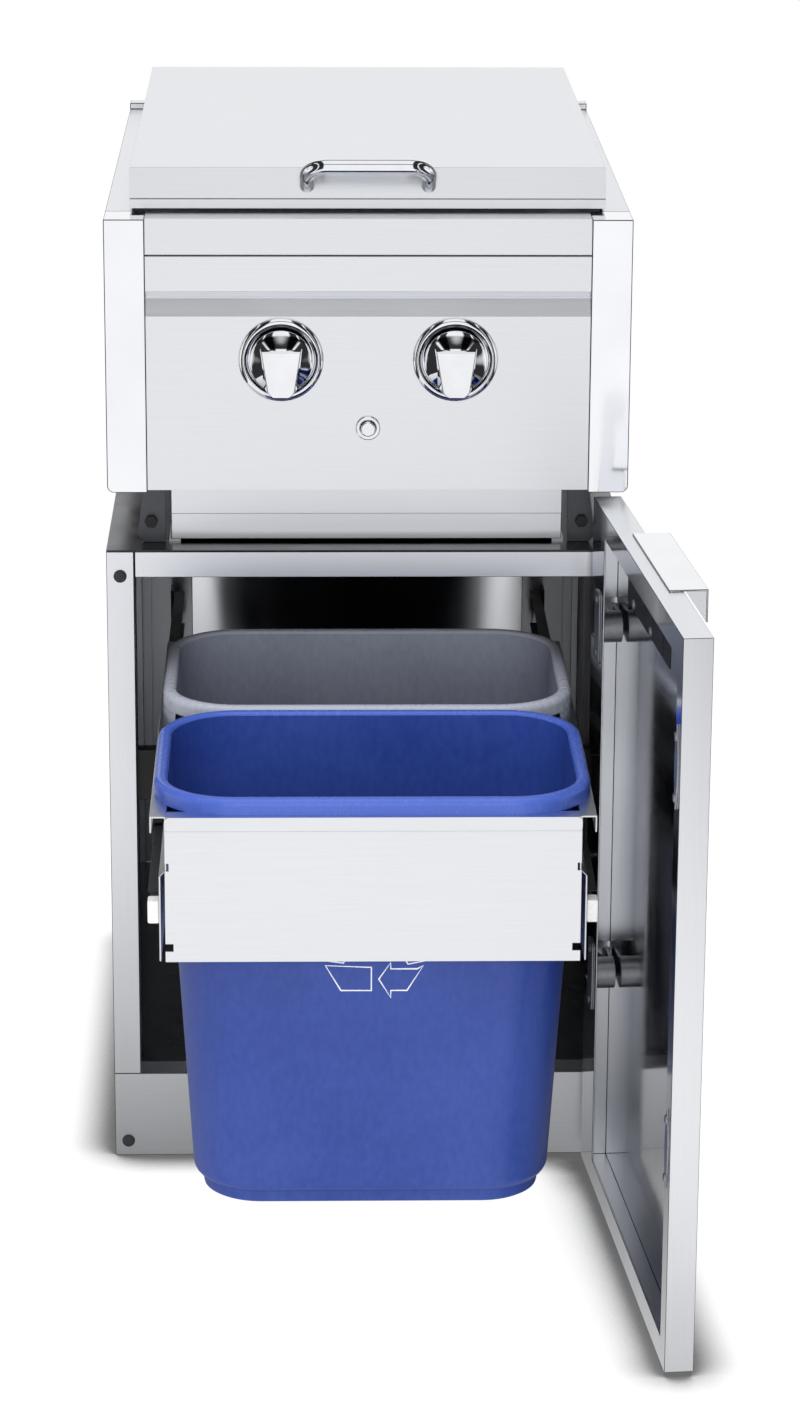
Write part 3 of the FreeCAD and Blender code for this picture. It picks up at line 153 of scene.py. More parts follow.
# Profiles of rolled and turned pieces. Each step is how far in and how far out it goes, in mm.
RIM_ROLL = ((0.4, 2.2), (1.0, 1.9), (1.5, 1.3), (2.0, 0.7), (1.6, 0.1), (1.8, -0.2), (1.4, -0.6), (0.9, -0.9),
            (0.6, -1.4))
BIN_FLOOR = ((2.5, -4.5), (5, -2.5))
BIN_FOOT = ((0.6, 7), (0.8, 2), (2.2, 1))
SCREW_DOME = ((0.4, 0.45), (0.9, 0.3), (1.1, 0.15))
BEZEL_RING = ((0.4, 0.9), (0.8, 0.9), (1.2, 0.8), (1.1, 0.4), (0.6, 0.07), (0.6, -0.07), (1.1, -0.4),
              (1.2, -0.8), (0.8, -0.9), (0.3, -0.9), (19.8, 0))
KNOB_DOME = ((0.3, 0.6), (0.7, 0.7), (0.9, 0.65), (2.1, 1.24), (2.5, 1.48), (2.5, 1.47), (2.5, 1.46),
             (2.5, 1.4), (2.5, 1.0), (2.5, 0.7), (2.5, 0.5))
# The hollow under a bin's rim in mm: draught of its skirt, height left solid above it, width of its ceiling.
RIM_HOLLOW = (0.3, 3, 5)
# Cross recess of a screw in mm: half width and half height of its two cuts, and from where to where they go.
RECESS_CUTS = ((0.5, 2.3), (2.3, 0.5))
RECESS_DEPTH = (-3, -0.6)
# A knob's grip starts as a block, with this half width in mm. Each row takes one end, upper or lower, front
# or back, to its own half width and moves it back and down.
GRIP_HALF = 20
GRIP_ENDS = (
    (True, True, 18.5, 13, 2),
    (True, False, 18.5, 0, 0),
    (False, True, 10.8, 0, 0),
    (False, False, 15, 0, 0),
)

# Rounds of small pieces.
BUMPER_ROUND = 0.8 * MM
END_BLOCK_ROUND = 1.5 * MM
STRIP_ROUND = 0.3 * MM
GRIP_ROUND = 1.0 * MM
IGNITER_RING_ROUND = 1.6 * MM
IGNITER_BUTTON_ROUND = 1.2 * MM
# Straight edges under the domes of screws and knobs, and under the rolled rings of bezels.
SCREW_EDGE = 0.7 * MM
KNOB_EDGE = 0.6 * MM
BEZEL_EDGE = 1.2 * MM
# A screw's seat lies this far behind the middle of the part's plain head.
SCREW_SEAT = 0.8 * MM
# The back of a knob's grip lies this far in front of the knob's back.
GRIP_BACK = 1.5 * MM
# The handle's legs go into the lid by this share of the bar's radius.
BAR_SINK = 0.7
# Faces across the round along a bin's bottom, round the handle's bar and along each of its bends.
BOTTOM_STEPS = 6
BAR_STEPS = 40
BEND_STEPS = 16
# A bin's rim finish starts at this share of the way from its middle to its mouth, which is this far inside
# the outer face of its wall.
RIM_FROM = 0.8
MOUTH_INSET = 2 * MM

# Length of the strip of paper, and how far its middle lies behind the cabinet's, in m.
PAPER_LENGTH = 16
PAPER_BACK = 1.5
# Lamps: place, the point it faces and the length of its sides, in m.
KEY_LAMP = ((-0.4, -1.2, 3.5), (0, -0.2, 0.4), 3.0)
FILL_LAMP = ((-0.3, -4.2, 1.4), (0, 0, 0.5), 2.2)
# How open the floor is at the core and at the edge of the contact shadow, and its levels there.
SHADOW_OPEN = (0.6, 0.96)
SHADOW_LEVEL = (0.1, 1.12)
# Distances in m over which the floor turns plain white, and over which its mirrored level turns bright.
WHITE_BETWEEN = (0.8, 1.7)
BRIGHT_BETWEEN = (0.35, 1.25)
# Width in mm of the frame that the lens is stated for.
SENSOR_WIDTH = 36


class CabinetSizes(bpy.types.PropertyGroup):
    """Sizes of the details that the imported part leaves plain."""

    fold: FloatProperty(
        name="Fold radius", description="Round on the edges of folded sheet",
        default=0.5 * MM, unit="LENGTH", subtype="DISTANCE")
    skin_round: FloatProperty(
        name="Skin round", description="Round on the edges of the lid and the side rails",
        default=0.8 * MM, unit="LENGTH", subtype="DISTANCE")
    post_round: FloatProperty(
        name="Post round", description="Round on the edges of the burner's posts",
        default=1.5 * MM, unit="LENGTH", subtype="DISTANCE")
    plate_round: FloatProperty(
        name="Plate round", description="Round on the edges of slides, hinges and strikes",
        default=0.4 * MM, unit="LENGTH", subtype="DISTANCE")
    strip_width: FloatProperty(
        name="Strip width", description="Width of the strips beside the back panel",
        default=10 * MM, unit="LENGTH", subtype="DISTANCE")
    hem_drop: FloatProperty(
        name="Hem drop", description="From the top of the carrier's front to the edge of its hem",
        default=11.5 * MM, unit="LENGTH", subtype="DISTANCE")
    corner_steps: IntProperty(
        name="Corner steps", description="Faces round each corner of a bin", default=14)
    bin_corner: FloatProperty(
        name="Bin corner", description="Radius of a bin's corners at its rim",
        default=66 * MM, unit="LENGTH", subtype="DISTANCE")
    wall_corner: FloatProperty(
        name="Wall corner", description="Radius of the corners of a bin's wall",
        default=57 * MM, unit="LENGTH", subtype="DISTANCE")
    rim_height: FloatProperty(
        name="Rim height", description="Height of a bin's rolled rim",
        default=15 * MM, unit="LENGTH", subtype="DISTANCE")
    roll_height: FloatProperty(
        name="Roll height", description="Height that is kept for the roll along the top of the rim",
        default=7 * MM, unit="LENGTH", subtype="DISTANCE")
    bin_wall: FloatProperty(
        name="Bin wall", description="Thickness of a bin's wall and of its rim's skirt",
        default=2.5 * MM, unit="LENGTH", subtype="DISTANCE")
    wall_inset: FloatProperty(
        name="Wall inset", description="From a bin's rim to its wall",
        default=8.9 * MM, unit="LENGTH", subtype="DISTANCE")
    wall_taper: FloatProperty(
        name="Wall taper", description="How far a bin's wall leans in to its foot",
        default=21 * MM, unit="LENGTH", subtype="DISTANCE")
    wall_drop: FloatProperty(
        name="Wall drop", description="From the top of a bin to the top of its wall",
        default=4 * MM, unit="LENGTH", subtype="DISTANCE")
    foot_height: FloatProperty(
        name="Foot height", description="Height of a bin's foot",
        default=10 * MM, unit="LENGTH", subtype="DISTANCE")
    floor_rise: FloatProperty(
        name="Floor rise", description="From the foot up to the edge of a bin's inner floor",
        default=10 * MM, unit="LENGTH", subtype="DISTANCE")
    bottom_round: FloatProperty(
        name="Bottom round", description="Round along the bottom of a bin's wall",
        default=11 * MM, unit="LENGTH", subtype="DISTANCE")
    sign_line: FloatProperty(
        name="Sign line", description="Half width of the sign's printed line",
        default=0.7 * MM, unit="LENGTH", subtype="DISTANCE")
    door_open: FloatProperty(
        name="Door opening", description="How far the door stands open",
        default=math.radians(94.95), unit="ROTATION", subtype="ANGLE")
    screw_radius: FloatProperty(
        name="Screw radius", description="Radius of the door's screw heads",
        default=4 * MM, unit="LENGTH", subtype="DISTANCE")
    crease_drop: FloatProperty(
        name="Crease drop", description="From the top of the control panel to its crease",
        default=31 * MM, unit="LENGTH", subtype="DISTANCE")
    round_steps: IntProperty(
        name="Round steps", description="Faces round a turned piece", default=96)
    stem_hole: FloatProperty(
        name="Stem hole", description="Radius of the hole behind a bezel",
        default=8.4 * MM, unit="LENGTH", subtype="DISTANCE")
    grip_below: FloatProperty(
        name="Grip below", description="How far a knob's grip reaches below its axis",
        default=26 * MM, unit="LENGTH", subtype="DISTANCE")
    grip_above: FloatProperty(
        name="Grip above", description="How far a knob's grip reaches above its axis",
        default=13 * MM, unit="LENGTH", subtype="DISTANCE")
    grip_corner: FloatProperty(
        name="Grip corner", description="Radius of the lower corners of a knob's grip",
        default=6 * MM, unit="LENGTH", subtype="DISTANCE")
    lip_rise: FloatProperty(
        name="Lip rise", description="From the bottom of the lid to the edge of its lip",
        default=8.2 * MM, unit="LENGTH", subtype="DISTANCE")
    bar_radius: FloatProperty(
        name="Handle radius", description="Radius of the lid handle's bar",
        default=6.5 * MM, unit="LENGTH", subtype="DISTANCE")
    bar_bend: FloatProperty(
        name="Handle bend", description="Radius of the bends in the lid handle",
        default=18 * MM, unit="LENGTH", subtype="DISTANCE")
    bar_reach: FloatProperty(
        name="Handle reach", description="From the lid to the middle of the handle's bar",
        default=33 * MM, unit="LENGTH", subtype="DISTANCE")
    bar_seat: FloatVectorProperty(
        name="Handle seat", description="Where the handle's legs meet the lid", size=3,
        default=(0, -288.67 * MM, 894 * MM), unit="LENGTH", subtype="XYZ")
    bar_lean: FloatProperty(
        name="Handle lean", description="How far the handle leans up",
        default=math.radians(37), unit="ROTATION", subtype="ANGLE")


class CabinetStudio(bpy.types.PropertyGroup):
    """Camera and light of the studio."""

    eye: FloatVectorProperty(
        name="Camera place", description="Where the camera stands", size=3,
        default=(-0.059, -3.798, 1.506), unit="LENGTH", subtype="XYZ")
    pitch: FloatProperty(
        name="Pitch", description="How far the camera looks down",
        default=math.radians(17.12), unit="ROTATION", subtype="ANGLE")
    yaw: FloatProperty(
        name="Yaw", description="How far the camera looks to the right",
        default=math.radians(1.45), unit="ROTATION", subtype="ANGLE")
    roll: FloatProperty(
        name="Roll", description="Tilt of the camera",
        default=math.radians(0.31), unit="ROTATION", subtype="ANGLE")
    lens: FloatProperty(
        name="Lens", description="Focal length in mm on a 36 mm wide frame", default=185.99)
    key: FloatProperty(
        name="Key light", description="Power of the large lamp overhead, in watts", default=80.0)
    fill: FloatProperty(
        name="Fill light", description="Power of the lamp in front, in watts", default=75.0)
    sky: FloatProperty(
        name="Room light", description="Level of the light from all round", default=0.45)
    wall: FloatProperty(
        name="Wall", description="Level of the wall that metal mirrors in front", default=1.0)
    back_wall: FloatProperty(
        name="Back wall", description="Level of the wall that metal mirrors behind", default=0.86)
    room: FloatProperty(
        name="Dark room", description="Level of the dark parts of the room that metal mirrors", default=0.03)
    paper: FloatVectorProperty(
        name="Paper", description="Colour of the floor", size=3, subtype="COLOR", default=linear("#F4F4F4"))
    paper_width: FloatProperty(
        name="Paper width", description="Width of the strip of paper",
        default=1.7, unit="LENGTH", subtype="DISTANCE")
    glow: FloatProperty(
        name="Paper glow", description="How much of the paper's white shines by itself",
        default=0.88, subtype="FACTOR")
    dim: FloatProperty(
        name="Dim floor", description="Level of the shaded floor that metal mirrors at the object",
        default=0.26)
    contact: FloatProperty(
        name="Contact shadow", description="How far the shadow under the object reaches",
        default=0.055, unit="LENGTH", subtype="DISTANCE")


def add_node(tree, kind, inputs=None, **settings):
    """Adds a shader node. Each input is a value, or the socket that feeds it."""
    node = tree.nodes.new(kind)
    for name, value in settings.items():
        setattr(node, name, value)
    for name, value in (inputs or {}).items():
        if isinstance(value, bpy.types.NodeSocket):
            tree.links.new(value, node.inputs[name])
        else:
            node.inputs[name].default_value = value
    return node


def finish(name):
    """The named finish, made on its first use."""
    if name in bpy.data.materials:
        return bpy.data.materials[name]
    low, high, metallic, smooth, rough, ior, grain, relief = FINISHES[name]
    material = bpy.data.materials.new(name)
    material.use_nodes = True
    tree = material.node_tree
    tree.nodes.clear()
    place = add_node(tree, "ShaderNodeTexCoord").outputs["Object"]
    stretch = add_node(tree, "ShaderNodeMapping", {"Vector": place, "Scale": [1 / (MM * g) for g in grain]})
    fine = add_node(tree, "ShaderNodeTexNoise", {
        "Vector": stretch.outputs["Vector"], "Scale": 1.0, "Detail": 3.0,
    })
    cloud = add_node(tree, "ShaderNodeTexNoise", {"Vector": place, "Scale": CLOUDS, "Detail": 2.0})
    both = add_node(tree, "ShaderNodeMath", {0: fine.outputs[0], 1: cloud.outputs[0]}, operation="ADD")
    level = add_node(tree, "ShaderNodeMapRange", {
        "Value": both.outputs[0], "From Min": DRIFT[0], "From Max": DRIFT[1],
    })
    colour = add_node(tree, "ShaderNodeValToRGB", {"Fac": level.outputs[0]})
    colour.color_ramp.elements[0].color = (*linear(low), 1)
    colour.color_ramp.elements[1].color = (*linear(high), 1)
    dull = add_node(tree, "ShaderNodeMapRange", {
        "Value": level.outputs[0], "To Min": smooth, "To Max": rough,
    })
    shader = add_node(tree, "ShaderNodeBsdfPrincipled", {
        "Base Color": colour.outputs[0], "Metallic": metallic, "Roughness": dull.outputs[0], "IOR": ior,
    })
    if relief:
        bump = add_node(tree, "ShaderNodeBump", {
            "Height": fine.outputs[0], "Strength": 1.0, "Distance": relief * MM,
        })
        tree.links.new(bump.outputs[0], shader.inputs["Normal"])
    add_node(tree, "ShaderNodeOutputMaterial", {"Surface": shader.outputs[0]})
    return material


def nothing():
    """Leaves edit mode with no piece selected."""
    if bpy.context.object and bpy.context.object.mode != "OBJECT":
        bpy.ops.object.mode_set(mode="OBJECT")
    bpy.ops.object.select_all(action="DESELECT")


def only(piece):
    """Makes one piece the selected and active one, in object mode."""
    nothing()
    piece.select_set(True)
    bpy.context.view_layer.objects.active = piece


def pick(piece, kind, test):
    """Enters edit mode with the vertices, edges or faces selected that pass a test."""
    only(piece)
    bpy.ops.object.mode_set(mode="EDIT")
    bpy.ops.mesh.select_mode(type=kind)
    bpy.ops.mesh.select_all(action="DESELECT")
    bpy.ops.object.mode_set(mode="OBJECT")
    mesh = piece.data
    if kind == "FACE":
        for face in mesh.polygons:
            face.select = test(face.center, face.normal)
    elif kind == "EDGE":
        for edge in mesh.edges:
            edge.select = test(*(mesh.vertices[i].co for i in edge.vertices))
    else:
        for vertex in mesh.vertices:
            vertex.select = test(vertex.co)
    bpy.ops.object.mode_set(mode="EDIT")


def rings(steps):
    """Insets the selected face again and again: each step is how far in and how far out it goes, in mm."""
    for inward, outward in steps:
        bpy.ops.mesh.inset(thickness=inward * MM, depth=outward * MM)


def add_piece(name, data):
    """A new object of the scene that holds a mesh or a curve."""
    piece = bpy.data.objects.new(name, data)
    bpy.context.scene.collection.objects.link(piece)
    return piece


def block(low, high):
    """A box between two corners, placed in its mesh."""
    low, high = Vector(low), Vector(high)
    nothing()
    bpy.ops.mesh.primitive_cube_add(size=1, location=(low + high) / 2)
    piece = bpy.context.object
    piece.scale = high - low
    bpy.ops.object.transform_apply()
    return piece


def disc(centre, radius, length):
    """A round bar along Y from its front centre backwards, placed in its mesh."""
    sizes = bpy.context.scene.cabinet_sizes
    x, y, z = centre
    nothing()
    bpy.ops.mesh.primitive_cylinder_add(vertices=sizes.round_steps, radius=radius, depth=length,
                                        location=(x, y + length / 2, z), rotation=(math.pi / 2, 0, 0))
    bpy.ops.object.transform_apply()
    return bpy.context.object


def bevel(piece, width, angle=16):
    """Rounds the edges of a piece that are sharper than an angle in degrees."""
    only(piece)
    round_off = piece.modifiers.new("Round", "BEVEL")
    round_off.width = width
    round_off.segments = 2
    round_off.limit_method = "ANGLE"
    round_off.angle_limit = math.radians(angle)
    bpy.ops.object.modifier_apply(modifier=round_off.name)


def show(piece, name, look, slot, body, *nodes):
    """Names a finished piece, smooths it, gives it its finish and its body, and hides the nodes it stands
    for.
    """
    only(piece)
    bpy.ops.object.shade_smooth_by_angle(angle=SMOOTH)
    even = piece.modifiers.new("Even", "WEIGHTED_NORMAL")
    even.keep_sharp = True
    bpy.ops.object.modifier_apply(modifier=even.name)
    piece.name = name
    piece.data.name = name
    piece.data.materials.clear()
    piece.data.materials.append(finish(look))
    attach(piece, body)
    if nodes:
        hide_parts(*nodes)
    return piece


def body_of(node):
    """The body a node of the part rides on."""
    return frame["nodes"][node]["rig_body"]


def merged(node, name):
    """A copy of a node of the part with its doubles merged, in edit mode."""
    piece = add_piece(name, frame["nodes"][node].data.copy())
    pick(piece, "VERT", lambda place: True)
    bpy.ops.mesh.remove_doubles(threshold=MERGE)
    return piece


def copy_of(node):
    """A copy of a node of the part with its doubles merged and its flat faces whole."""
    piece = merged(node, node)
    bpy.ops.mesh.dissolve_limited(angle_limit=FLAT)
    return piece


def score(piece, level, groove):
    """Presses a level groove into the front of a piece."""
    width, depth = groove
    half = width / 2 * MM
    for height in (level - half, level + half):
        pick(piece, "FACE", lambda place, normal: True)
        bpy.ops.mesh.bisect(plane_co=(0, 0, height), plane_no=(0, 0, 1))
    pick(piece, "FACE", lambda place, normal: abs(place.z - level) < half and normal.y < -FACING)
    rings([(0, -depth)])


def soften(node, look, slot, width):
    """A copy of a folded sheet with rounded folds, that stands for its node."""
    piece = copy_of(node)
    bevel(piece, width)
    return show(piece, f"{node}_sheet", look, slot, body_of(node), node)


def reface(piece, look, test):
    """Gives a further finish to the faces of a piece that pass a test."""
    piece.data.materials.append(finish(look))
    for face in piece.data.polygons:
        if test(face.center, face.normal):
            face.material_index = len(piece.data.materials) - 1


def outline(piece):
    """Gives the rounded edges of a square-cut sheet a painted dark reflection."""
    reface(piece, "stainless_painted_dark_reflection_and_shade", lambda place, normal: max(abs(part) for part in normal) < SQUARE)


def weld(first, *others):
    """Joins pieces into the first."""
    only(first)
    for piece in others:
        piece.select_set(True)
    bpy.ops.object.join()
    return first


def paint(node, look):
    """Gives a node of the part a finish and leaves its shape."""
    mesh = frame["nodes"][node].data
    mesh.materials.clear()
    mesh.materials.append(finish(look))


class CABINET_OT_cabinet(bpy.types.Operator):
    """Dress the folded sheets of the cabinet, with its bumpers and slides"""

    bl_idname = "cabinet.cabinet"
    bl_label = "Cabinet"

    def execute(self, context):
        sizes = context.scene.cabinet_sizes
        for node in ("left_stile", "right_stile"):
            outline(soften(node, "stainless_brushed_along_z", "brushed_stainless", sizes.fold))
        for node in ("top_rail", "kick_plate"):
            outline(soften(node, "stainless_brushed_along_x", "brushed_stainless", sizes.fold))
        for node, inward in (("left_side_panel", 1), ("right_side_panel", -1)):
            panel = soften(node, "stainless_brushed_along_z", "brushed_stainless", sizes.fold)
            # The inner faces of the sides are painted dark as painted shade.
            reface(panel, "stainless_painted_shade_inner", lambda place, normal: normal.x * inward > 0.5)
        panel = soften("back_panel", "stainless_brushed_along_z", "brushed_stainless", sizes.fold)
        reface(panel, "stainless_bright_rolled", lambda place, normal: normal.y < -0.5)
        # The deck here and the floor panel below take mill sheet painted dark grey as painted shade.
        soften("deck_panel", "stainless_mill_sheet_painted_shade", "brushed_stainless", sizes.fold)
        self.strips(sizes)
        paint("rear_posts", "stainless_brushed_along_z")
        paint("floor_panel", "stainless_mill_sheet_painted_shade")
        soften("door_bumpers", "moulded_rubber", "black_rubber", BUMPER_ROUND)
        for node in ("slide_cabinet_members", "slide_middle_members", "slide_carrier_members",
                     "slide_brackets"):
            soften(node, "black_coated_steel", "zinc_steel", sizes.plate_round)
        return {"FINISHED"}

    def strips(self, sizes):
        """Narrow strips that close the corners between the back panel, the rear posts and the sides."""
        low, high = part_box("back_panel")
        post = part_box("rear_posts")[1].x
        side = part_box("right_side_panel")[0].x
        strips = []
        for near, far in ((high.x, high.x + sizes.strip_width), (post, side)):
            for left, right in ((near, far), (-far, -near)):
                strip = block((left, low.y, low.z), (right, high.y, high.z))
                bevel(strip, STRIP_ROUND)
                strips.append(strip)
        show(weld(*strips), "rear_corner_strips", "stainless_brushed_along_z", "brushed_stainless",
             "cabinet")


class CABINET_OT_carrier(bpy.types.Operator):
    """Dress the pull-out carrier"""

    bl_idname = "cabinet.carrier"
    bl_label = "Carrier"

    def execute(self, context):
        sizes = context.scene.cabinet_sizes
        front = copy_of("carrier_front")
        score(front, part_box("carrier_front")[1].z - sizes.hem_drop, HEM_GROOVE)
        bevel(front, sizes.fold)
        outline(show(front, "carrier_front_sheet", "stainless_brushed_along_x", "brushed_stainless",
                     "carrier", "carrier_front"))
        for node in ("carrier_side_left", "carrier_side_right"):
            soften(node, "stainless_brushed_along_y", "brushed_stainless", sizes.fold)
        for node in ("carrier_rear", "carrier_crossbar"):
            soften(node, "stainless_brushed_along_x", "brushed_stainless", sizes.fold)
        soften("slide_end_blocks", "white_nylon", "white_plastic", END_BLOCK_ROUND)
        return {"FINISHED"}


class CABINET_OT_bins(bpy.types.Operator):
    """Model the two bins with rolled rims, tapered walls and feet, and the sign on the blue one"""

    bl_idname = "cabinet.bins"
    bl_label = "Bins"

    def execute(self, context):
        sizes = context.scene.cabinet_sizes
        self.tub(sizes, "blue_bin", "blue_polypropylene")
        self.tub(sizes, "grey_bin", "grey_polypropylene")
        self.sign(sizes)
        return {"FINISHED"}

    def tub(self, sizes, node, look):
        """A rolled rim on a tapered wall. The rim's paler finish, a painted highlight, covers what is above
        its skirt near the mouth.
        """
        low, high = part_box(node)
        centre = (low + high) / 2
        skirt = high.z - sizes.rim_height
        rim = self.rim(sizes, low, high, skirt)
        wall = self.wall(sizes, low, high)
        tub = show(weld(rim, wall), f"{node}_tub", look, f"{node.split('_')[0]}_plastic", node, node)
        inset = sizes.wall_inset + MOUTH_INSET
        mouth = (high - low) / 2 - Vector((inset, inset, 0))
        # The rim's paler finish is a painted highlight.
        reface(tub, f"{look}_rim", lambda place, normal: place.z > skirt - MM and max(
            abs(place.x - centre.x) / mouth.x, abs(place.y - centre.y) / mouth.y) > RIM_FROM)

    def rim(self, sizes, low, high, skirt):
        """A block with rounded corners, rolled along its top, hollow underneath and open in its middle."""
        centre = (low + high) / 2
        rim = block((low.x, low.y, skirt), (high.x, high.y, high.z - sizes.roll_height))
        pick(rim, "EDGE", lambda a, b: abs(a.z - b.z) > MM)
        bpy.ops.mesh.bevel(offset=sizes.bin_corner, segments=sizes.corner_steps, affect="EDGES")
        pick(rim, "FACE", lambda place, normal: normal.z > FACING)
        rings(RIM_ROLL)
        pick(rim, "FACE", lambda place, normal: normal.z < -FACING and abs(place.z - skirt) < 0.1 * MM)
        draught, solid, ceiling = RIM_HOLLOW
        rings([(sizes.bin_wall / MM, 0), (draught, solid - sizes.rim_height / MM), (ceiling, 0)])
        pick(rim, "FACE", lambda place, normal: abs(normal.z) > FACING and (place - centre).xy.length < MM)
        bpy.ops.mesh.bridge_edge_loops()
        return rim

    def wall(self, sizes, low, high):
        """A tapered block with rounded corners, hollowed from its top, with a rounded bottom and a foot."""
        centre = (low + high) / 2
        inset = Vector((sizes.wall_inset, sizes.wall_inset, 0))
        top = high.z - sizes.wall_drop
        foot = low.z + sizes.foot_height
        wall = block((*(low + inset).xy, foot), (*(high - inset).xy, top))
        half = (high - low) / 2 - inset
        narrow = (1 - sizes.wall_taper / half.x, 1 - sizes.wall_taper / half.y, 1)
        pick(wall, "VERT", lambda place: place.z < centre.z)
        bpy.ops.transform.resize(value=narrow, center_override=centre)
        pick(wall, "EDGE", lambda a, b: abs(a.z - b.z) > 100 * MM)
        bpy.ops.mesh.bevel(offset=sizes.wall_corner, segments=sizes.corner_steps, affect="EDGES")
        pick(wall, "FACE", lambda place, normal: normal.z > FACING)
        rings([(sizes.bin_wall / MM, 0)])
        bpy.ops.mesh.extrude_region_move(
            TRANSFORM_OT_translate={"value": (0, 0, foot + sizes.floor_rise - top)})
        bpy.ops.transform.resize(value=narrow, center_override=centre)
        rings(BIN_FLOOR)
        pick(wall, "EDGE", lambda a, b: max(a.z, b.z) < foot + MM)
        bpy.ops.mesh.bevel(offset=sizes.bottom_round, segments=BOTTOM_STEPS, affect="EDGES")
        pick(wall, "FACE", lambda place, normal: normal.z < -0.99 and place.z < foot + MM)
        rings(BIN_FOOT)
        return wall

    def sign(self, sizes):
        """The outline lies on the front wall, which leans from under the rim to above the foot."""
        low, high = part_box("blue_bin")
        top = Vector((0, low.y + sizes.wall_inset, high.z - sizes.wall_drop))
        foot = Vector((0, top.y + sizes.wall_taper, low.z + sizes.foot_height))
        lean = math.atan2(foot.y - top.y, top.z - foot.z)
        line = bpy.data.curves.new("sign", "CURVE")
        line.dimensions = "3D"
        line.bevel_depth = sizes.sign_line
        line.bevel_resolution = 0
        for arrow in SIGN:
            spline = line.splines.new("POLY")
            spline.points.add(len(arrow) - 1)
            spline.use_cyclic_u = True
            for point, (x, z) in zip(spline.points, arrow):
                point.co = (x * MM, 0, (z * MM - top.z) / math.cos(lean), 1)
        only(add_piece("sign", line))
        bpy.ops.object.convert(target="MESH")
        sign = bpy.context.object
        sign.scale = (1, SIGN_FLATNESS, 1)
        bpy.ops.object.transform_apply()
        sign.location = top
        sign.rotation_euler = (lean, 0, 0)
        bpy.ops.object.transform_apply()
        show(sign, "blue_bin_sign", "white_ink", "white_plastic", "blue_bin")


class CABINET_OT_door(bpy.types.Operator):
    """Dress the open door, its pull, hinges and strikes, and model its screws"""

    bl_idname = "cabinet.door"
    bl_label = "Door"

    def execute(self, context):
        sizes = context.scene.cabinet_sizes
        inward = Vector((-math.sin(sizes.door_open), math.cos(sizes.door_open), 0))
        door = soften("door_pan", "stainless_brushed_along_z", "brushed_stainless", sizes.fold)
        reface(door, "stainless_bright_rolled", lambda place, normal: normal.dot(inward) > 0.5)
        outline(door)
        outline(soften("door_pull", "stainless_polished", "polished_steel", sizes.fold))
        for node in ("hinge_cups", "hinge_pins"):
            soften(node, "zinc_plated_steel", "zinc_steel", sizes.plate_round)
        for node in ("hinge_arms", "door_top_bracket"):
            soften(node, "black_coated_steel", "black_steel", sizes.plate_round)
        soften("strike_plates", "zinc_plated_steel", "zinc_steel", sizes.plate_round)
        self.screws(sizes, inward)
        return {"FINISHED"}

    def screws(self, sizes, inward):
        """One pan head with a cross recess, copied to the place of each plain head of the part."""
        head = disc((0, -SCREW_EDGE, 0), sizes.screw_radius, SCREW_EDGE)
        pick(head, "FACE", lambda place, normal: normal.y < -FACING)
        rings(SCREW_DOME)
        front, back = (depth * MM for depth in RECESS_DEPTH)
        for width, height in RECESS_CUTS:
            cutter = block((-width * MM, front, -height * MM), (width * MM, back, height * MM))
            only(head)
            recess = head.modifiers.new("Recess", "BOOLEAN")
            recess.object = cutter
            bpy.ops.object.modifier_apply(modifier=recess.name)
            bpy.data.objects.remove(cutter)
        merged("door_screws", "plain_heads")
        bpy.ops.mesh.separate(type="LOOSE")
        nothing()
        heads = []
        for one in [one for one in bpy.data.objects if one.name.startswith("plain_heads")]:
            low, high = Vector(one.bound_box[0]), Vector(one.bound_box[6])
            middle = (low + high) / 2
            copy = add_piece("head", head.data.copy())
            only(copy)
            copy.location = middle - SCREW_SEAT * inward
            copy.rotation_euler = (0, 0, sizes.door_open + math.pi)
            bpy.ops.object.transform_apply()
            heads.append(copy)
            bpy.data.objects.remove(one)
        bpy.data.objects.remove(head)
        show(weld(*heads), "door_screws_pan_head", "zinc_plated_steel", "zinc_steel", "door", "door_screws")


class CABINET_OT_burner(bpy.types.Operator):
    """Dress the burner's skin and what is inside it"""

    bl_idname = "cabinet.burner"
    bl_label = "Burner"

    def execute(self, context):
        sizes = context.scene.cabinet_sizes
        for node in ("burner_post_left", "burner_post_right"):
            outline(soften(node, "stainless_polished", "polished_steel", sizes.post_round))
        for node in ("side_rail_left", "side_rail_right"):
            outline(soften(node, "stainless_brushed_along_y", "brushed_stainless", sizes.skin_round))
        self.panel(sizes)
        outline(soften("drip_tray", "stainless_brushed_along_x", "brushed_stainless", sizes.fold))
        for node in ("rear_rail", "firebox"):
            soften(node, "stainless_brushed_along_x", "brushed_stainless", sizes.fold)
        paint("tray_runners", "stainless_brushed_along_y")
        for node in ("gas_manifold", "burner_heads", "valve_stem_left", "valve_stem_right"):
            paint(node, "zinc_plated_steel")
        for node in ("gas_inlet", "gas_valves"):
            paint(node, "machined_brass")
        for node in ("cooking_grate", "burner_caps"):
            paint(node, "enamelled_cast_iron")
        paint("igniter_electrodes", "white_nylon")
        soften("leg_brackets", "galvanised_steel", "zinc_steel", sizes.fold)
        soften("leg_bolts", "black_coated_steel", "black_steel", sizes.fold)
        return {"FINISHED"}

    def panel(self, sizes):
        """The control panel. Its crease gets painted shade and the rounded bend into its slope a painted dark
        reflection, so both read as dark lines.
        """
        panel = copy_of("control_panel")
        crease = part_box("control_panel")[1].z - sizes.crease_drop
        score(panel, crease, CREASE_GROOVE)
        bevel(panel, sizes.fold)
        show(panel, "control_panel_sheet", "stainless_brushed_along_x", "brushed_stainless", "cabinet",
             "control_panel")
        # Painted shade on the crease's faces, and a painted dark reflection on the bend into the slope.
        reface(panel, "stainless_painted_dark_reflection_and_shade", lambda place, normal: normal.y < -0.5 and (
            abs(place.z - crease) < 0.5 * MM or 0.15 < normal.z < 0.42))


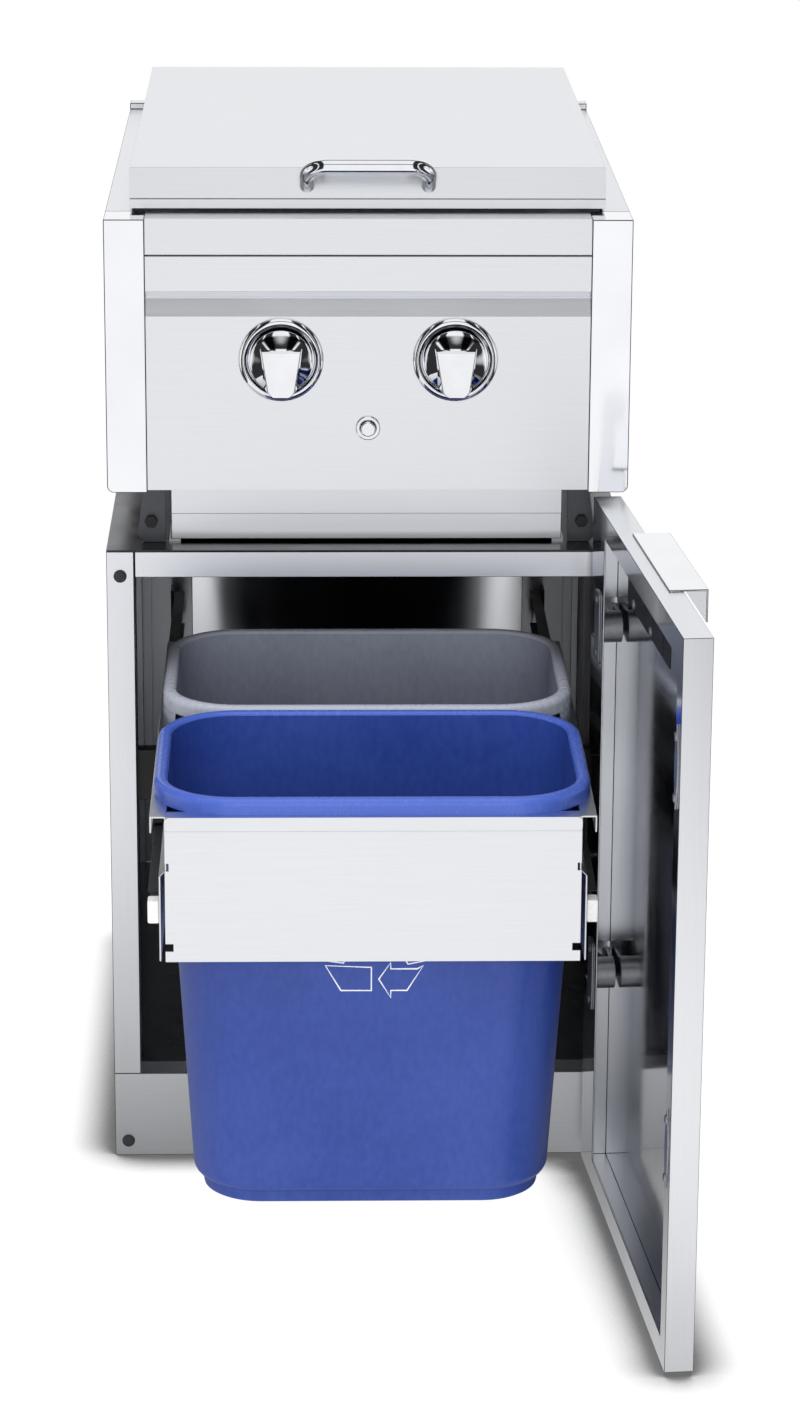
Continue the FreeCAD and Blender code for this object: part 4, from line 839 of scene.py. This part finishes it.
class CABINET_OT_controls(bpy.types.Operator):
    """Model the knobs and their bezels, and dress the igniter"""

    bl_idname = "cabinet.controls"
    bl_label = "Controls"

    def execute(self, context):
        sizes = context.scene.cabinet_sizes
        low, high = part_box("knob_bezels")
        bezels = []
        for node in ("knob_left", "knob_right"):
            centre = self.centre(node)
            bezels.append(self.bezel(sizes, (centre.x, high.y, centre.z), (high.z - low.z) / 2))
            self.knob(sizes, node, centre)
        show(weld(*bezels), "knob_bezels_turned", "chrome_plated", "chrome", "cabinet", "knob_bezels")
        soften("igniter_body", "chrome_plated", "chrome", IGNITER_RING_ROUND)
        soften("igniter_button", "chrome_plated", "chrome", IGNITER_BUTTON_ROUND)
        return {"FINISHED"}

    def centre(self, node):
        """The place of a knob's axis at its back: its base is as high as it is wide."""
        low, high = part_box(node)
        return Vector(((low.x + high.x) / 2, high.y, high.z - (high.x - low.x) / 2))

    def bezel(self, sizes, centre, radius):
        """A rolled ring round a flat plate with an open middle for the stem."""
        x, y, z = centre
        ring = disc((x, y - BEZEL_EDGE, z), radius, BEZEL_EDGE)
        pick(ring, "FACE", lambda place, normal: normal.y < -FACING)
        rings(BEZEL_RING)
        pick(ring, "FACE", lambda place, normal: normal.y > FACING)
        rings([((radius - sizes.stem_hole) / MM, 0)])
        pick(ring, "FACE", lambda place, normal: (
            abs(normal.y) > FACING and math.hypot(place.x - x, place.z - z) < MM))
        bpy.ops.mesh.bridge_edge_loops()
        return ring

    def knob(self, sizes, node, centre):
        """A domed base with a wedge-shaped grip that narrows downwards."""
        low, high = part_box(node)
        base = disc(centre - Vector((0, KNOB_EDGE, 0)), (high.x - low.x) / 2, KNOB_EDGE)
        pick(base, "FACE", lambda place, normal: normal.y < -FACING)
        rings(KNOB_DOME)
        start = GRIP_HALF * MM
        grip = block((centre.x - start, low.y, centre.z - sizes.grip_below),
                     (centre.x + start, high.y - GRIP_BACK, centre.z + sizes.grip_above))
        for upper, front, half, back, drop in GRIP_ENDS:
            pick(grip, "VERT", lambda place: (
                (place.z > centre.z) == upper and (place.y < low.y + MM) == front))
            bpy.ops.transform.resize(value=(half / GRIP_HALF, 1, 1), center_override=centre)
            bpy.ops.transform.translate(value=(0, back * MM, -drop * MM))
        pick(grip, "EDGE", lambda a, b: max(a.z, b.z) < centre.z and abs(a.y - b.y) > 5 * MM)
        bpy.ops.mesh.bevel(offset=sizes.grip_corner, segments=8, affect="EDGES")
        bevel(grip, GRIP_ROUND, angle=25)
        show(weld(base, grip), f"{node}_cast", "chrome_plated", "chrome", body_of(node), node)


class CABINET_OT_lid(bpy.types.Operator):
    """Dress the lid and model its handle"""

    bl_idname = "cabinet.lid"
    bl_label = "Lid"

    def execute(self, context):
        sizes = context.scene.cabinet_sizes
        lid = copy_of("lid_shell")
        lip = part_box("lid_shell")[0].z + sizes.lip_rise
        score(lid, lip, LIP_GROOVE)
        bevel(lid, sizes.skin_round)
        show(lid, "lid_shell_sheet", "stainless_brushed_along_x", "brushed_stainless", "lid", "lid_shell")
        # A painted dark reflection on the rounded front edge of the top, and painted shade in the lip groove.
        reface(lid, "stainless_painted_dark_reflection_and_shade", lambda place, normal: 0.4 < normal.z < SQUARE or (
            normal.y < -0.5 and abs(place.z - lip) < 0.35 * MM))
        for node in ("lid_hinge_ears", "lid_hinge_pins"):
            paint(node, "zinc_plated_steel")
        self.handle(sizes)
        return {"FINISHED"}

    def handle(self, sizes):
        """A bent bar, made level from one leg to the other, then leant up at the lid."""
        low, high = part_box("lid_handle")
        radius, bend = sizes.bar_radius, sizes.bar_bend
        left, right = low.x + radius, high.x - radius
        sunk = BAR_SINK * radius
        turn = bend - sizes.bar_reach
        nothing()
        bpy.ops.mesh.primitive_circle_add(vertices=BAR_STEPS, radius=radius, location=(left, sunk, 0),
                                          rotation=(math.pi / 2, 0, 0), fill_type="NGON")
        bpy.ops.object.transform_apply()
        bar = bpy.context.object
        pick(bar, "FACE", lambda place, normal: True)
        for reach, middle in (((0, turn - sunk, 0), left + bend),
                              ((right - left - 2 * bend, 0, 0), right - bend)):
            bpy.ops.mesh.extrude_region_move(TRANSFORM_OT_translate={"value": reach})
            bpy.ops.mesh.spin(steps=BEND_STEPS, angle=math.pi / 2, center=(middle, turn, 0),
                              axis=(0, 0, -1))
        bpy.ops.mesh.extrude_region_move(TRANSFORM_OT_translate={"value": (0, sunk - turn, 0)})
        bpy.ops.mesh.select_all(action="SELECT")
        bpy.ops.mesh.normals_make_consistent(inside=False)
        only(bar)
        bar.location = sizes.bar_seat
        bar.rotation_euler = (-sizes.bar_lean, 0, 0)
        bpy.ops.object.transform_apply()
        show(bar, "lid_handle_bar", "chrome_plated", "chrome", "lid", "lid_handle")


class CABINET_OT_stage(bpy.types.Operator):
    """Set up the floor, the light and the camera"""

    bl_idname = "cabinet.stage"
    bl_label = "Studio"

    def execute(self, context):
        studio = context.scene.cabinet_studio
        context.scene.view_settings.view_transform = "Standard"
        self.floor(studio)
        self.world(context, studio)
        self.lamp("Key", studio.key, *KEY_LAMP)
        self.lamp("Fill", studio.fill, *FILL_LAMP)
        self.camera(context, studio)
        return {"FINISHED"}

    def floor(self, studio):
        """A strip of white paper that keeps the shadow near the object, where metal mirrors it dim."""
        nothing()
        bpy.ops.mesh.primitive_plane_add(size=1, location=(0, PAPER_BACK, 0))
        floor = bpy.context.object
        floor.scale = (studio.paper_width, PAPER_LENGTH, 1)
        bpy.ops.object.transform_apply()
        floor.name = "studio_floor"
        material = bpy.data.materials.new("matt_paper")
        material.use_nodes = True
        tree = material.node_tree
        tree.nodes.clear()
        open_to = add_node(tree, "ShaderNodeAmbientOcclusion", {"Distance": studio.contact}, samples=16)
        shade = add_node(tree, "ShaderNodeMapRange", {
            "Value": open_to.outputs["AO"], "From Min": SHADOW_OPEN[0], "From Max": SHADOW_OPEN[1],
            "To Min": SHADOW_LEVEL[0], "To Max": SHADOW_LEVEL[1],
        })
        paper = add_node(tree, "ShaderNodeBsdfDiffuse", {"Color": (*studio.paper, 1)})
        glow = add_node(tree, "ShaderNodeEmission", {"Strength": shade.outputs[0]})
        near = add_node(tree, "ShaderNodeMixShader", {
            0: studio.glow, 1: paper.outputs[0], 2: glow.outputs[0],
        })
        place = add_node(tree, "ShaderNodeTexCoord").outputs["Object"]
        away = add_node(tree, "ShaderNodeVectorMath", {0: place}, operation="LENGTH").outputs["Value"]
        far = add_node(tree, "ShaderNodeMapRange", {
            "Value": away, "From Min": WHITE_BETWEEN[0], "From Max": WHITE_BETWEEN[1],
        })
        white = add_node(tree, "ShaderNodeEmission", {"Strength": 1.0})
        seen = add_node(tree, "ShaderNodeMixShader", {
            0: far.outputs[0], 1: near.outputs[0], 2: white.outputs[0],
        })
        dim = add_node(tree, "ShaderNodeMapRange", {
            "Value": away, "From Min": BRIGHT_BETWEEN[0], "From Max": BRIGHT_BETWEEN[1],
            "To Min": studio.dim, "To Max": 1.0,
        })
        mirrored = add_node(tree, "ShaderNodeEmission", {"Strength": dim.outputs[0]})
        path = add_node(tree, "ShaderNodeLightPath").outputs
        both = add_node(tree, "ShaderNodeMixShader", {
            0: path["Is Glossy Ray"], 1: seen.outputs[0], 2: mirrored.outputs[0],
        })
        add_node(tree, "ShaderNodeOutputMaterial", {"Surface": both.outputs[0]})
        floor.data.materials.append(material)

    def world(self, context, studio):
        """White to the camera. Metal mirrors pale walls with dark gaps and stripes between them."""
        world = bpy.data.worlds.new("white_studio")
        context.scene.world = world
        world.use_nodes = True
        tree = world.node_tree
        tree.nodes.clear()
        path = add_node(tree, "ShaderNodeLightPath").outputs
        way = add_node(tree, "ShaderNodeTexCoord").outputs["Generated"]
        way = add_node(tree, "ShaderNodeSeparateXYZ", {0: way}).outputs
        front = add_node(tree, "ShaderNodeMath", {0: way["Y"], 1: -1.0}, operation="MULTIPLY")
        angle = add_node(tree, "ShaderNodeMath", {0: way["Z"], 1: front.outputs[0]}, operation="ARCTAN2")
        turn = add_node(tree, "ShaderNodeMath", {0: angle.outputs[0], 1: math.pi}, operation="DIVIDE")
        aside = add_node(tree, "ShaderNodeMath", {0: way["X"]}, operation="ABSOLUTE")
        # Levels by the angle in degrees from the front over the top to the back.
        dark = studio.room
        gaps = ((39, studio.wall), (41, dark), (48, dark), (50, 1.0), (114, 1.0), (116, dark), (129, dark),
                (131, studio.back_wall), (180, studio.back_wall))
        gaps = [(degrees / 180, level) for degrees, level in gaps]
        # Levels by how far aside a ray points, from 0 straight on to 1 straight to a side.
        stripes = ((0.27, 1.0), (0.32, dark), (0.56, dark), (0.59, 1.0), (0.63, 1.0), (0.66, dark),
                   (0.86, dark), (0.9, 1.0))
        levels = []
        for value, stops in ((turn.outputs[0], gaps), (aside.outputs[0], stripes)):
            ramp = add_node(tree, "ShaderNodeValToRGB", {"Fac": value})
            for place, level in stops:
                ramp.color_ramp.elements.new(place).color = (level, level, level, 1)
            first = stops[0][1]
            ramp.color_ramp.elements[0].color = (first, first, first, 1)
            levels.append(ramp.outputs[0])
        level = add_node(tree, "ShaderNodeMath", {0: levels[0], 1: levels[1]}, operation="MULTIPLY")
        white = add_node(tree, "ShaderNodeBackground", {"Strength": 1.0, "Color": (1, 1, 1, 1)})
        mirrored = add_node(tree, "ShaderNodeBackground", {
            "Strength": level.outputs[0], "Color": (1, 1, 1, 1),
        })
        soft = add_node(tree, "ShaderNodeBackground", {"Strength": studio.sky, "Color": (1, 1, 1, 1)})
        lit = add_node(tree, "ShaderNodeMixShader", {
            0: path["Is Glossy Ray"], 1: soft.outputs[0], 2: mirrored.outputs[0],
        })
        seen = add_node(tree, "ShaderNodeMath", {
            0: path["Is Camera Ray"], 1: path["Is Transmission Ray"],
        }, operation="MAXIMUM")
        both = add_node(tree, "ShaderNodeMixShader", {
            0: seen.outputs[0], 1: lit.outputs[0], 2: white.outputs[0],
        })
        add_node(tree, "ShaderNodeOutputWorld", {"Surface": both.outputs[0]})

    def lamp(self, name, power, place, aim, size):
        """A square soft lamp that metal doesn't mirror."""
        bpy.ops.object.light_add(type="AREA", location=place)
        lamp = bpy.context.object
        lamp.name = name
        lamp.data.energy = power
        lamp.data.size = size
        lamp.visible_glossy = False
        lamp.rotation_euler = (Vector(aim) - Vector(place)).to_track_quat("-Z", "Y").to_euler()

    def camera(self, context, studio):
        """The camera of the photograph, turned by its yaw, pitch and roll."""
        bpy.ops.object.camera_add(location=studio.eye)
        camera = bpy.context.object
        forward = Vector((math.sin(studio.yaw) * math.cos(studio.pitch),
                          math.cos(studio.yaw) * math.cos(studio.pitch), -math.sin(studio.pitch)))
        level = forward.cross(Vector((0, 0, 1))).normalized()
        upright = level.cross(forward)
        right = math.cos(studio.roll) * level + math.sin(studio.roll) * upright
        up = right.cross(forward)
        camera.rotation_euler = Matrix((right, up, -forward)).transposed().to_euler()
        camera.data.sensor_fit = "HORIZONTAL"
        camera.data.sensor_width = SENSOR_WIDTH
        camera.data.lens = studio.lens
        context.scene.camera = camera


class CABINET_PT_panel(bpy.types.Panel):
    """Sizes and steps of the cabinet"""

    bl_idname = "CABINET_PT_panel"
    bl_label = "Outdoor kitchen cabinet"
    bl_space_type = "VIEW_3D"
    bl_region_type = "UI"
    bl_category = "Cabinet"

    def draw(self, context):
        for group in (context.scene.cabinet_sizes, context.scene.cabinet_studio):
            for name in group.__annotations__:
                self.layout.prop(group, name)
        for operator in OPERATORS:
            self.layout.operator(operator.bl_idname)


OPERATORS = (
    CABINET_OT_cabinet, CABINET_OT_carrier, CABINET_OT_bins, CABINET_OT_door, CABINET_OT_burner,
    CABINET_OT_controls, CABINET_OT_lid, CABINET_OT_stage,
)
CLASSES = (CabinetSizes, CabinetStudio, *OPERATORS, CABINET_PT_panel)


def register():
    """Registers the classes and hangs their values on the scene."""
    for item in CLASSES:
        bpy.utils.register_class(item)
    bpy.types.Scene.cabinet_sizes = PointerProperty(type=CabinetSizes)
    bpy.types.Scene.cabinet_studio = PointerProperty(type=CabinetStudio)


def unregister():
    """Takes back what register added."""
    del bpy.types.Scene.cabinet_studio
    del bpy.types.Scene.cabinet_sizes
    for item in reversed(CLASSES):
        bpy.utils.unregister_class(item)


def main():
    """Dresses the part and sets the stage."""
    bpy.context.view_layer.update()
    register()
    bpy.ops.cabinet.cabinet()
    bpy.ops.cabinet.carrier()
    bpy.ops.cabinet.bins()
    bpy.ops.cabinet.door()
    bpy.ops.cabinet.burner()
    bpy.ops.cabinet.controls()
    bpy.ops.cabinet.lid()
    bpy.ops.cabinet.stage()


if __name__ == "__main__":
    main()
